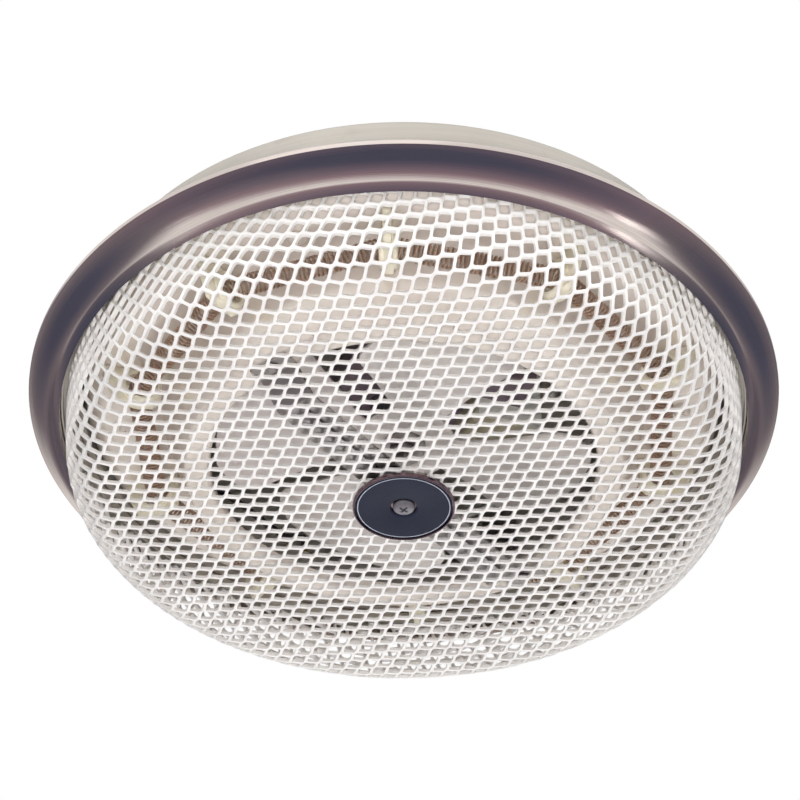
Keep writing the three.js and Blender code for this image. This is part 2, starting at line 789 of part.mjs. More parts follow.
function backingWasher() {
  const outline = [
    point(screwRadius + gap, washerBottom),
    point(backingWasherRadius, washerBottom),
    point(backingWasherRadius, washerBottom + backingWasherThickness),
    point(screwRadius + gap, washerBottom + backingWasherThickness),
  ];
  return revolve(outline, roundFacets);
}

const strapFootStart = throatRadius + strapFootGap;
const strapFlatHalf = strapFootStart - strapSlope;

function strapRivetPlace(side) {
  return side * (strapFootStart + strapFootLength / 2);
}

function grilleStrap() {
  const middle = (strapBottom + strapTop) / 2;
  const foot = landUnder - gap - strapSheet / 2;
  const line = [
    point(-strapFootStart - strapFootLength, foot),
    point(-strapFootStart, foot),
    point(-strapFlatHalf, middle),
    point(strapFlatHalf, middle),
    point(strapFootStart, foot),
    point(strapFootStart + strapFootLength, foot),
  ];
  const beadHalf = strapFlatHalf - strapBeadWidth;
  const bead = slice(
    [
      point(-beadHalf, strapBottom + strapSheet / 2),
      point(-beadHalf + strapBeadWidth / 2, strapBeadBottom),
      point(beadHalf - strapBeadWidth / 2, strapBeadBottom),
      point(beadHalf, strapBottom + strapSheet / 2),
    ],
    strapBeadWidth,
  );
  const cutters = [bar(screwRadius + gap, strapTop + overrun, strapBeadBottom - overrun)];
  for (const side of [-1, 1]) {
    const hole = bar(rivetRadius + gap, foot + overrun, foot - overrun);
    cutters.push(hole.translate(strapRivetPlace(side), 0, 0));
  }
  return carve([slice(sheetOutline(line, strapSheet), strapWidth), bead], cutters);
}

function strapNut() {
  const bottom = strapTop + gap;
  return carve(
    [bar(strapNutRadius, bottom + strapNutHeight, bottom, 6)],
    [bar(screwRadius + gap, bottom + strapNutHeight + overrun, bottom - overrun)],
  );
}

function strapRivet() {
  const headTop = landUnder - gap - strapSheet - gap;
  return headedPin(
    rivetHeadRadius,
    rivetHeadHeight,
    rivetRadius,
    headTop,
    landOver + gap,
    holeFacets,
    rivetHeadRadius,
  );
}

// Reflector

// A terminal stands past each end of the coil, with its crimp against the wire's straight end.
function terminalPlaces() {
  return coilPath().ends.map(({ place, away }) => {
    const centre = place.clone().addScaledVector(away, coilWire + gap + terminalCrimpLength);
    return { centre, away };
  });
}

function reflectorPan() {
  const landInner = throatRadius - throatBendRadius / 2;
  const bendCentre = point(landInner + throatBendRadius, -landDepth + throatBendRadius);
  const line = [
    point(landInner, -landDepth + throatWall),
    ...arc(bendCentre, throatBendRadius, Math.PI, Math.PI * 1.5),
    point(throatRadius + landWidth, -landDepth),
    point(coneOuterRadius, -troughDepth - coneBendHeight),
    point(coneOuterRadius + coneBendHeight, -troughDepth),
    ...new THREE.QuadraticBezierCurve(
      point(troughRadius, -troughDepth),
      point((troughRadius + reflectorRadius) / 2, -troughDepth),
      point(reflectorRadius, -reflectorEdgeDepth),
    ).getPoints(bendSteps),
  ];
  const cutters = [];
  const drill = (radius, distance, angle, depth) => {
    cutters.push(bar(radius, overrun - depth, -overrun - depth).translate(distance, 0, 0).rotateZ(angle));
  };
  for (const side of [-1, 1]) drill(rivetRadius + gap, strapRivetPlace(side), strapAngle, landDepth);
  for (const angle of bracketAngles) drill(panScrewRadius + gap, panScrewDistance, angle, troughDepth);
  for (const angle of supportAngles) drill(supportStubRadius + gap, supportStubDistance, angle, troughDepth);
  for (const { centre } of terminalPlaces()) {
    const hole = bar(bushingRadius + 2 * gap, overrun - troughDepth, -overrun - troughDepth, boreFacets);
    cutters.push(hole.translate(centre.x, centre.y, 0));
  }
  return carve([revolve(sheetOutline(line, reflectorSheet))], cutters);
}

// A Z-shaped bracket from the drum's back down to the trough's floor, made along X.
function reflectorBracket() {
  const half = bracketSheet / 2;
  const leg = bracketRadius + half;
  const topFoot = drumFloor - gap - half;
  const lowFoot = troughOver + gap + half;
  const line = [
    point(leg - bracketFootLength, topFoot),
    point(leg, topFoot),
    point(leg, lowFoot),
    point(leg - bracketFootLength, lowFoot),
  ];
  const hole = bar(panScrewRadius + gap, lowFoot + overrun, lowFoot - overrun);
  return carve(
    [slice(sheetOutline(line, bracketSheet), bracketWidth)],
    [hole.translate(panScrewDistance, 0, 0)],
  );
}

function panScrew() {
  const headTop = troughUnder - gap;
  return headedPin(panScrewHeadRadius, panScrewHeadHeight, panScrewRadius, headTop, headTop + panScrewLength);
}

// Heater coil

// The coil's axis: straight runs between rounded corners at the supports, with a short tail past each end
// support.
function coilPath() {
  const corner = (i) => polar(coilCornerRadius, firstSupportAngle + i * supportTurn, -coilDepth);
  const run = corner(0).distanceTo(corner(1));
  const towards = (i, j, length) => corner(i).lerp(corner(j), length / run);
  const path = new THREE.CurvePath();
  const start = towards(0, -1, coilTail);
  const end = towards(supportCount - 1, supportCount, coilTail);
  let from = start;
  for (let i = 0; i < supportCount; i++) {
    const into = towards(i, i - 1, coilCornerLength);
    const out = towards(i, i + 1, coilCornerLength);
    path.add(new THREE.LineCurve3(from, into));
    path.add(new THREE.QuadraticBezierCurve3(into, corner(i), out));
    from = out;
  }
  path.add(new THREE.LineCurve3(from, end));
  const ends = [
    { place: start, away: path.getTangentAt(0).negate() },
    { place: end, away: path.getTangentAt(1) },
  ];
  return { path, ends };
}

// The wound wire as one tube: curls round the path, with a short straight end at each terminal.
function heaterCoil() {
  const { path, ends } = coilPath();
  const wound = (coilDiameter - coilWire) / 2;
  const count = coilCurls * coilSteps;
  const centres = [];
  for (let i = 0; i <= count; i++) {
    const share = i / count;
    const along = path.getTangentAt(share);
    const side = new THREE.Vector3().crossVectors(along, upright);
    const phase = (i / coilSteps) * 2 * Math.PI;
    // The first and last curl run out to the axis, where the terminals take the wire.
    const radius = wound * Math.min(1, i / coilSteps, (count - i) / coilSteps);
    centres.push(
      path
        .getPointAt(share)
        .addScaledVector(side, radius * Math.cos(phase))
        .addScaledVector(upright, radius * Math.sin(phase)),
    );
  }
  centres.unshift(centres[0].clone().addScaledVector(ends[0].away, coilWire));
  centres.push(centres.at(-1).clone().addScaledVector(ends[1].away, coilWire));

  console.log(`heater_coil: least gap to itself ${leastGap(centres).toFixed(2)} mm`);
  return tube(centres, coilWire / 2, coilSides);
}

// The least clear space between curls, measured on points along the wire.
function leastGap(centres) {
  let least = Infinity;
  for (let i = 0; i < centres.length; i++) {
    for (let j = i + coilSteps / 2; j < Math.min(i + 3 * coilSteps, centres.length); j++) {
      least = Math.min(least, centres[i].distanceTo(centres[j]) - coilWire);
    }
  }
  return least;
}

// A ceramic fin made along X, with a boss round the coil and a stub that locates it in the trough's floor.
function coilSupport() {
  const top = troughUnder - gap;
  const inner = supportRadius - supportInset;
  const outer = supportRadius + supportReach;
  const bottom = -coilDepth - supportDrop;
  const fin = slice(
    [
      point(inner, top),
      point(inner, bottom + supportInset / 3),
      point(inner + supportInset / 3, bottom),
      point(supportRadius + supportInset, bottom),
      point(outer, top - supportDrop / 2),
      point(outer, top),
    ],
    supportThickness,
  );
  const roundPiece = (radius, length) =>
    new THREE.CylinderGeometry(radius, radius, length, boreFacets).translate(supportRadius, 0, -coilDepth);
  const boss = roundPiece(supportBoss, supportBossLength);
  const bore = roundPiece(supportBore, supportBossLength + overrun);
  const stub = bar(supportStubRadius, top + supportStubHeight, top - supportStubRadius);
  return carve([fin, boss, stub.translate(supportStubDistance, 0, 0)], [bore]);
}

function terminalBushing() {
  const under = troughUnder - gap;
  const over = troughOver + gap;
  const bore = terminalRadius + gap;
  return revolve(
    [
      point(bore, under - bushingFlange),
      point(bushingFlangeRadius, under - bushingFlange),
      point(bushingFlangeRadius, under),
      point(bushingRadius, under),
      point(bushingRadius, over + bushingCollar),
      point(bore, over + bushingCollar),
    ],
    boreFacets,
  );
}

// The stud hangs through its bushing, and a crimp at its foot faces the coil's straight end.
function terminalStud() {
  const stud = bar(terminalRadius, terminalTop, -coilDepth, boreFacets);
  const collarTop = troughUnder - gap - bushingFlange - gap;
  const collar = bar(terminalRadius * 2, collarTop, collarTop - terminalRadius, boreFacets);
  const crimp = new THREE.CylinderGeometry(terminalRadius, terminalRadius, terminalCrimpLength, holeFacets)
    .rotateZ(Math.PI / 2)
    .translate(terminalCrimpLength / 2, 0, -coilDepth);
  return carve([stud, collar, crimp]);
}

// Motor, in its own frame with the coil's leg along +X

const stackBottom = -stackTop - stackHeight;
const stackTopZ = -stackTop;
const screwHalf = stackHalfWidth - motorScrewInset;
const armTop = stackTopZ + gap + bearingArmThickness;
const armBottom = stackBottom - gap - bearingArmThickness;

function screwHoles(x = 0) {
  return [-1, 1].map((side) =>
    bar(motorScrewRadius + gap, overrun, -shaftEndDepth).translate(x, side * screwHalf, 0),
  );
}

function motorStator() {
  const windowInner = stackFront - stackLeg - stackWindow;
  const windowOuter = stackFront - stackLeg;
  const windowHalf = stackHalfWidth / 2;
  const outline = [
    point(-stackBack, -stackHalfWidth),
    point(stackFront, -stackHalfWidth),
    point(stackFront, stackHalfWidth),
    point(-stackBack, stackHalfWidth),
  ];
  const window = [
    point(windowInner, -windowHalf),
    point(windowOuter, -windowHalf),
    point(windowOuter, windowHalf),
    point(windowInner, windowHalf),
  ];
  const slotEnd = shadingOffset + shadingWire;
  const [low, high] = [stackBottom - overrun, stackTopZ + overrun];
  const slots = [-1, 1].map((side) =>
    block(-shadingWire, shadingWire, 0, slotEnd, low, high).rotateZ(shadingTurn(side)),
  );
  return carve(
    [slab(outline, stackTopZ, stackBottom, [window])],
    [bar(rotorRadius + airGap, overrun, -shaftEndDepth, roundFacets), ...slots, ...screwHoles()],
  );
}

// The direction of each pole tip's slot, from the shaft.
function shadingTurn(side) {
  return Math.PI / 2 + (side * Math.PI) / 2 + Math.PI / 4;
}

// A copper ring round each pole tip, standing in its slot.
function shadingRing(side) {
  const half = shadingWire - gap;
  const inner = rotorRadius + airGap + gap;
  const outer = shadingOffset + shadingWire - gap;
  const [low, high] = [stackBottom - shadingWire, stackTopZ + shadingWire];
  return block(-half, half, inner, outer, low, high).rotateZ(shadingTurn(side));
}

// A square-cornered ring round the coil's leg, between two heights along Y.
function legRing(clear, wall, y0, y1) {
  const x0 = stackFront - stackLeg - clear;
  const x1 = stackFront + clear;
  const z0 = stackBottom - clear;
  const z1 = stackTopZ + clear;
  return carve(
    [block(x0 - wall, x1 + wall, y0, y1, z0 - wall, z1 + wall)],
    [block(x0, x1, y0 - overrun, y1 + overrun, z0, z1)],
  );
}

function motorBobbin() {
  const half = stackHalfWidth / 2 - gap;
  const flange = windingRise * bobbinFlangeShare;
  return carve([
    legRing(gap, bobbinWall, -half, half),
    legRing(gap, flange, half - bobbinFlange, half),
    legRing(gap, flange, -half, -half + bobbinFlange),
  ]);
}

function motorWinding() {
  const clear = gap + bobbinWall + gap;
  const half = stackHalfWidth / 2 - gap - bobbinFlange - gap;
  const x0 = stackFront - stackLeg - clear;
  const x1 = stackFront + clear;
  const z0 = stackBottom - clear;
  const z1 = stackTopZ + clear;
  const wall = windingRise - clear;
  const outer = new THREE.Shape();
  const [left, right, low, high] = [x0 - wall, x1 + wall, z0 - wall, z1 + wall];
  const r = Math.min(windingRounding, wall);
  outer.moveTo(left + r, low);
  outer.lineTo(right - r, low);
  outer.absarc(right - r, low + r, r, -Math.PI / 2, 0);
  outer.absarc(right - r, high - r, r, 0, Math.PI / 2);
  outer.absarc(left + r, high - r, r, Math.PI / 2, Math.PI);
  outer.absarc(left + r, low + r, r, Math.PI, Math.PI * 1.5);
  outer.holes = [new THREE.Path([point(x0, z0), point(x1, z0), point(x1, z1), point(x0, z1)])];
  return new THREE.ExtrudeGeometry(outer, { depth: 2 * half, bevelEnabled: false, curveSegments: 3 })
    .translate(0, 0, -half)
    .rotateX(Math.PI / 2);
}

// An arm across the stack with a boss for the shaft. The side is +1 above the stack and -1 below it.
function bearingBracket(side) {
  const face = side > 0 ? stackTopZ + gap : stackBottom - gap;
  const armEnd = face + side * bearingArmThickness;
  const bossEnd = armEnd + side * (bearingBossHeight - bearingArmThickness);
  const [low, high] = [Math.min(face, armEnd), Math.max(face, armEnd)];
  const halfLength = screwHalf + bearingArmWidth / 2;
  const arm = block(-bearingArmWidth / 2, bearingArmWidth / 2, -halfLength, halfLength, low, high);
  const boss = bar(bearingBossRadius, Math.max(face, bossEnd), Math.min(face, bossEnd), roundFacets);
  return carve([arm, boss], [bar(shaftRadius + gap, overrun, -shaftEndDepth, roundFacets), ...screwHoles()]);
}

// A hat-shaped strap: its feet lie on the drum's back, and its crown on the rear bearing bracket.
function motorBracket() {
  const half = motorBracketSheet / 2;
  const foot = drumFloor - gap - half;
  const crown = armTop + gap + half;
  const leg = stackHalfWidth + motorBracketRoom - half;
  const line = [
    point(-leg - motorBracketFoot, foot),
    point(-leg, foot),
    point(-leg, crown),
    point(leg, crown),
    point(leg, foot),
    point(leg + motorBracketFoot, foot),
  ];
  const strap = slice(sheetOutline(line, motorBracketSheet), motorBracketWidth).rotateZ(Math.PI / 2);
  const bossHole = bar(bearingBossRadius + gap, overrun, -shaftEndDepth, roundFacets);
  return carve([strap], [bossHole, ...screwHoles()]);
}

function motorScrew() {
  const end = armTop + gap + motorBracketSheet + gap;
  return headedPin(motorScrewHeadRadius, motorScrewHeadHeight, motorScrewRadius, armBottom - gap, end);
}

function motorRotor() {
  const bore = shaftRadius + gap;
  return revolve(
    [
      point(bore, stackBottom + gap),
      point(rotorRadius, stackBottom + gap),
      point(rotorRadius, stackTopZ - gap),
      point(bore, stackTopZ - gap),
    ],
    roundFacets,
  );
}

function motorShaft() {
  const top = armTop + bearingBossHeight - bearingArmThickness - gap;
  return bar(shaftRadius, top, -shaftEndDepth, roundFacets);
}

// Fan, in the heater's frame about Z

const discTop = -fanDepth + fanSheet / 2;
const discBottom = -fanDepth - fanSheet / 2;
const hubTop = discTop + hubRise;
const hubBottom = discBottom - hubDrop;

// One blade: a sheet whose chord widens to a rounded tip, and whose pitch fades out into the disc at its
// root.
function fanBlade(angle) {
  const vertices = [];
  const triangles = [];
  for (const side of [1, -1]) {
    for (let i = 0; i <= bladeRings; i++) {
      const share = i / bladeRings;
      const radius = THREE.MathUtils.lerp(bladeRoot, fanRadius, Math.sin((share * Math.PI) / 2));
      const spread = THREE.MathUtils.lerp(bladeRootHalfAngle, bladeTipHalfAngle, Math.sqrt(share));
      const tip = Math.max(0, (radius / fanRadius - bladeTipStartShare) / (1 - bladeTipStartShare));
      const half = spread * (1 - bladeTipRoundShare * tip * tip);
      const twistEnd = fanDiscRadius * bladeTwistEndShare;
      const pitch = bladePitch * THREE.MathUtils.smoothstep(radius, bladeRoot, twistEnd);
      for (let k = 0; k <= bladeChords; k++) {
        const turn = THREE.MathUtils.lerp(-half, half, k / bladeChords);
        const rise = radius * Math.sin(turn) * Math.tan(pitch);
        vertices.push(polar(radius, angle + turn, -fanDepth + rise + (side * fanSheet) / 2));
      }
    }
  }
  const row = bladeChords + 1;
  const layer = (bladeRings + 1) * row;
  const quad = (a, b, c, d) => triangles.push([a, b, c], [a, c, d]);
  for (let i = 0; i < bladeRings; i++) {
    for (let k = 0; k < bladeChords; k++) {
      const a = i * row + k;
      quad(a, a + row, a + row + 1, a + 1);
      quad(layer + a, layer + a + 1, layer + a + row + 1, layer + a + row);
    }
    const [low, high] = [i * row, i * row + bladeChords];
    quad(low, layer + low, layer + low + row, low + row);
    quad(high, high + row, layer + high + row, layer + high);
  }
  for (let k = 0; k < bladeChords; k++) {
    const tip = bladeRings * row + k;
    quad(k, k + 1, layer + k + 1, layer + k);
    quad(tip, layer + tip, layer + tip + 1, tip + 1);
  }
  return meshGeometry(vertices, triangles);
}

function fanWheel() {
  const blades = Array.from({ length: bladeCount }, (_, i) =>
    fanBlade(firstBladeAngle + (i * 2 * Math.PI) / bladeCount),
  );
  return carve(
    [bar(fanDiscRadius, discTop, discBottom, roundFacets), ...blades],
    [bar(hubRadius + gap, discTop + overrun, discBottom - overrun, roundFacets)],
  );
}

const setScrewDepth = (hubTop + discTop + hubFlangeThickness) / 2;

function setScrewBar(radius, from, to) {
  return new THREE.CylinderGeometry(radius, radius, to - from, holeFacets)
    .rotateZ(Math.PI / 2)
    .translate((from + to) / 2, 0, setScrewDepth);
}

function fanHub() {
  const flange = discTop + gap;
  return carve(
    [
      bar(hubRadius, hubTop, hubBottom, roundFacets),
      bar(hubFlangeRadius, flange + hubFlangeThickness, flange, roundFacets),
    ],
    [
      bar(shaftRadius + gap, hubTop + overrun, hubBottom - overrun, roundFacets),
      setScrewBar(setScrewRadius + gap, 0, hubRadius + overrun),
    ],
  );
}

function fanSetScrew() {
  return setScrewBar(setScrewRadius, shaftRadius + gap, hubRadius + gap);
}

function fanRetainer() {
  const top = hubBottom - gap;
  return carve(
    [bar(retainerRadius, top, top - retainerHeight, 6)],
    [bar(shaftRadius + gap, top + overrun, top - retainerHeight - overrun, roundFacets)],
  );
}

// Limit switch, fuse, bushing and ground screw

const limitAngle = firstSupportAngle + supportTurn / 2;
const fuseAngle = firstSupportAngle - supportTurn / 2;
const limitTop = troughOver + gap + limitHeight;
const tabTop = limitTop + limitTabLength;

function limitSwitch() {
  const base = troughOver + gap;
  const tab = (side) => {
    const x = (side * limitRadius) / 2;
    return block(
      x - limitTabThickness / 2,
      x + limitTabThickness / 2,
      -limitTabWidth / 2,
      limitTabWidth / 2,
      limitTop - overrun,
      tabTop,
    );
  };
  return carve([
    bar(limitRadius, limitTop, base, roundFacets),
    block(
      -limitFlangeLength / 2,
      limitFlangeLength / 2,
      -limitFlangeWidth / 2,
      limitFlangeWidth / 2,
      base,
      base + limitFlangeThickness,
    ),
    tab(1),
    tab(-1),
  ]);
}

function thermalFuse() {
  const z = troughOver + gap + fuseRadius;
  return new THREE.CylinderGeometry(fuseRadius, fuseRadius, fuseLength, holeFacets)
    .rotateZ(Math.PI / 2)
    .translate(switchRadius, 0, z);
}

function wireBushing() {
  const under = drumFloor - gap;
  return revolve(
    [
      point(wireBushingBore, under - wireBushingFlange),
      point(wireBushingFlangeRadius, under - wireBushingFlange),
      point(wireBushingFlangeRadius, under),
      point(wireHoleRadius - gap, under),
      point(wireHoleRadius - gap, -gap),
      point(wireBushingBore, -gap),
    ],
    roundFacets,
  );
}

function groundScrew() {
  return headedPin(groundScrewHeadRadius, groundScrewHeadHeight, groundScrewRadius, drumFloor - gap, -gap);
}

// A lead: a round tube along a smooth curve through its points.
function lead(points) {
  const curve = new THREE.CatmullRomCurve3(points);
  return tube(curve.getPoints(leadSteps * (points.length - 1)), leadRadius, leadSides);
}

// The four leads' routes. Each starts in the wire bushing and ends at its own terminal, tab or winding.
// Between them it lies at places given as shares of the drum's radius, or beside the motor as shares of the
// stack's half width.
function leadRoutes() {
  const entry = (x, y) => {
    const inBushing = wirePlace.clone().add(new THREE.Vector3(x, y, -2 * gap));
    const below = inBushing.clone().setZ(drumFloor - wireBushingFlange);
    return [inBushing, below, below.clone().setZ(below.z - 2 * leadRadius)];
  };
  const spread = 2 * leadRadius + gap;
  const [firstTerminal, lastTerminal] = terminalPlaces().map(({ centre }) => centre);
  const tab = (side) => {
    const across = polar((side * limitRadius) / 2, limitAngle + Math.PI / 2);
    return polar(switchRadius, limitAngle, tabTop + gap).add(across);
  };
  const above = (place, rise) => place.clone().setZ(place.z + rise);
  const stud = (centre) => centre.clone().setZ(terminalTop + gap);
  const inDrum = (shares) =>
    shares.map(([x, y, z]) => new THREE.Vector3(x * drumRadius, y * drumRadius, -z * drumDepth));
  const byMotor = (shares) =>
    shares.map(([x, y, z]) => {
      const place = new THREE.Vector3(x * stackHalfWidth, y * stackHalfWidth, -z * stackTop);
      return place.applyAxisAngle(upright, motorAngle);
    });
  const windingFace = new THREE.Vector3(stackFront + windingRise + gap, 0, -stackTop);
  return {
    line_lead: [
      ...entry(-spread, -spread / 2),
      ...inDrum(lineLeadShares),
      above(tab(1), leadBendHeight),
      tab(1),
    ],
    heater_lead: [
      tab(-1),
      above(tab(-1), leadBendHeight),
      ...inDrum(heaterLeadShares),
      above(stud(firstTerminal), leadBendHeight),
      stud(firstTerminal),
    ],
    neutral_lead: [
      ...entry(0, -spread * (3 / 2)),
      ...inDrum(neutralLeadShares),
      above(stud(lastTerminal), leadBendHeight),
      stud(lastTerminal),
    ],
    motor_lead: [
      ...entry(spread, -spread / 2),
      ...byMotor(motorLeadShares),
      windingFace.clone().setX(windingFace.x + 2 * leadRadius).applyAxisAngle(upright, motorAngle),
      windingFace.clone().applyAxisAngle(upright, motorAngle),
    ],
  };
}

// Assembly

function buildHeater() {
  const heater = new THREE.Group();
  addMesh(heater, "housing_pan", housingPan(), satinAluminium);
  addMesh(heater, "trim_ring", trimRing(), rimAluminium);
  addMesh(heater, "grille_basket", grilleBasket(), grilleAluminium);
  addMesh(heater, "grille_hem", grilleHem(), brightAluminium);
  addMesh(heater, "badge_cup", badgeCup(), copper);
  addMesh(heater, "badge_disc", badgeDisc(), darkPlastic);
  addMesh(heater, "grille_screw", grilleScrew(), darkSteel);
  addMesh(heater, "backing_washer", backingWasher(), platedSteel);
  addMesh(heater, "reflector_pan", reflectorPan(), brightAluminium);
  addMesh(heater, "heater_coil", heaterCoil(), nichrome);
  addMesh(heater, "ground_screw", groundScrew(), brass).position.copy(groundScrewPlace);
  addMesh(heater, "wire_bushing", wireBushing(), darkPlastic).position.copy(wirePlace);

  const strap = new THREE.Group();
  strap.rotation.z = strapAngle;
  heater.add(strap);
  addMesh(strap, "grille_strap", grilleStrap(), platedSteel);
  addMesh(strap, "strap_nut", strapNut(), platedSteel);
  [-1, 1].forEach((side, i) => {
    addMesh(strap, `strap_rivet_${i + 1}`, strapRivet(), platedSteel).position.x = strapRivetPlace(side);
  });

  bracketAngles.forEach((angle, i) => {
    addMesh(heater, `reflector_bracket_${i + 1}`, reflectorBracket(), platedSteel).rotation.z = angle;
    const screw = addMesh(heater, `reflector_screw_${i + 1}`, panScrew(), brightAluminium);
    screw.position.copy(polar(panScrewDistance, angle));
    screw.rotation.z = angle;
  });
  supportAngles.forEach((angle, i) => {
    addMesh(heater, `coil_support_${i + 1}`, coilSupport(), ceramic).rotation.z = angle;
  });
  terminalPlaces().forEach(({ centre, away }, i) => {
    const terminal = new THREE.Group();
    terminal.position.set(centre.x, centre.y, 0);
    terminal.rotation.z = Math.atan2(-away.y, -away.x);
    heater.add(terminal);
    addMesh(terminal, `terminal_bushing_${i + 1}`, terminalBushing(), ceramic);
    addMesh(terminal, `terminal_stud_${i + 1}`, terminalStud(), brass);
  });

  const limit = addMesh(heater, "limit_switch", limitSwitch(), darkPlastic);
  limit.position.copy(polar(switchRadius, limitAngle));
  limit.rotation.z = limitAngle + Math.PI / 2;
  addMesh(heater, "thermal_fuse", thermalFuse(), whitePlastic).rotation.z = fuseAngle;
  for (const [name, points] of Object.entries(leadRoutes())) {
    const sleeve = ["line_lead", "heater_lead"].includes(name) ? blackSleeve : whiteSleeve;
    addMesh(heater, name, lead(points), sleeve);
  }

  const motor = new THREE.Group();
  motor.rotation.z = motorAngle;
  heater.add(motor);
  addMesh(motor, "motor_bracket", motorBracket(), platedSteel);
  addMesh(motor, "motor_stator", motorStator(), laminations);
  addMesh(motor, "motor_bobbin", motorBobbin(), whitePlastic);
  addMesh(motor, "motor_winding", motorWinding(), creamWrap);
  addMesh(motor, "bearing_bracket_rear", bearingBracket(1), platedSteel);
  addMesh(motor, "bearing_bracket_front", bearingBracket(-1), platedSteel);
  [-1, 1].forEach((side, i) => {
    addMesh(motor, `motor_screw_${i + 1}`, motorScrew(), platedSteel).position.y = side * screwHalf;
    addMesh(motor, `shading_ring_${i + 1}`, shadingRing(side), copper);
  });

  const rotor = new THREE.Group();
  heater.add(rotor);
  addMesh(rotor, "motor_rotor", motorRotor(), darkSteel);
  addMesh(rotor, "motor_shaft", motorShaft(), platedSteel);
  addMesh(rotor, "fan_wheel", fanWheel(), fanAluminium);
  addMesh(rotor, "fan_hub", fanHub(), platedSteel);
  addMesh(rotor, "fan_set_screw", fanSetScrew(), darkSteel);
  addMesh(rotor, "fan_retainer", fanRetainer(), platedSteel);
  return heater;
}

export default buildHeater();
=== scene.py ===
"""Looks of a round, fan-forced bathroom ceiling heater, seen from below.

The heater hangs from the XY plane and points down. Sizes are in millimetres until a piece is
finished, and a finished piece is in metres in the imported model's frame. The stage, the lamps and
the camera are in metres. Angles are in radians where no name says degrees.
"""

from __future__ import annotations

import json
import logging
import math
from collections.abc import Iterable
from dataclasses import dataclass
from enum import Enum
from functools import cached_property
from typing import NamedTuple

import bmesh
import bpy
from mathutils import Matrix, Vector

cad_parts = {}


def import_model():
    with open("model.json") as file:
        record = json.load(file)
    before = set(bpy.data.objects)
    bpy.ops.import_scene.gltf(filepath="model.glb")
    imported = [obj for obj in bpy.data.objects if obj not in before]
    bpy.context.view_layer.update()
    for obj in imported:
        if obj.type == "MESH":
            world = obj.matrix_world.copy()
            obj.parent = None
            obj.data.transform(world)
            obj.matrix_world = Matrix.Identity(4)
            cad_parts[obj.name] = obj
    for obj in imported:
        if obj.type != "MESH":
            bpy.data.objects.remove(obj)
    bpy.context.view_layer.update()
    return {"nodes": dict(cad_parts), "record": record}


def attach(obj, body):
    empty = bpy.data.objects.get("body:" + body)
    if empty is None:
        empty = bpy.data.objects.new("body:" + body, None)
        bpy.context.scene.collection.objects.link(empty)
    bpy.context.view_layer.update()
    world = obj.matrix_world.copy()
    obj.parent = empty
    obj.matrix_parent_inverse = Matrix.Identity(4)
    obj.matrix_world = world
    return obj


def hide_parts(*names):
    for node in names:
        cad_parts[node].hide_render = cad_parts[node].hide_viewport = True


log = logging.getLogger("ceiling_heater")

Spot = tuple[float, float]
Place = tuple[float, float, float]
Colour = tuple[float, float, float]
Profile = list[Spot]
Mesh = bmesh.types.BMesh
Socket = bpy.types.NodeSocket

MM = 0.001
TURN = 2 * math.pi
QUARTER = math.pi / 2
ORIGIN = (0.0, 0.0, 0.0)
WHITE = (1.0, 1.0, 1.0, 1.0)
POLE_GAP = 1e-4
SOFT_EDGE = math.radians(30)


class Body(Enum):
    """The two bodies that pieces ride on."""

    HEATER = "heater"
    ROTOR = "rotor"


class Grain(Enum):
    """Which way the fine lines of a finish run."""

    CLOUDY = "cloudy"
    TURNED = "turned"
    ROLLED = "rolled"
    STACKED = "stacked"
    TAPED = "taped"


# Shader helpers


class NoiseBand(NamedTuple):
    """How fine a noise is, and the part of its range that is spread over 0 to 1."""

    detail: float
    start: float
    end: float


def linear(channel: int) -> float:
    """Turns one 8-bit display value into a linear share."""
    share = channel / 255
    return share / 12.92 if share <= 0.04045 else ((share + 0.055) / 1.055) ** 2.4


def srgb(red: int, green: int, blue: int) -> Colour:
    """Turns an 8-bit display colour into a linear one."""
    return linear(red), linear(green), linear(blue)


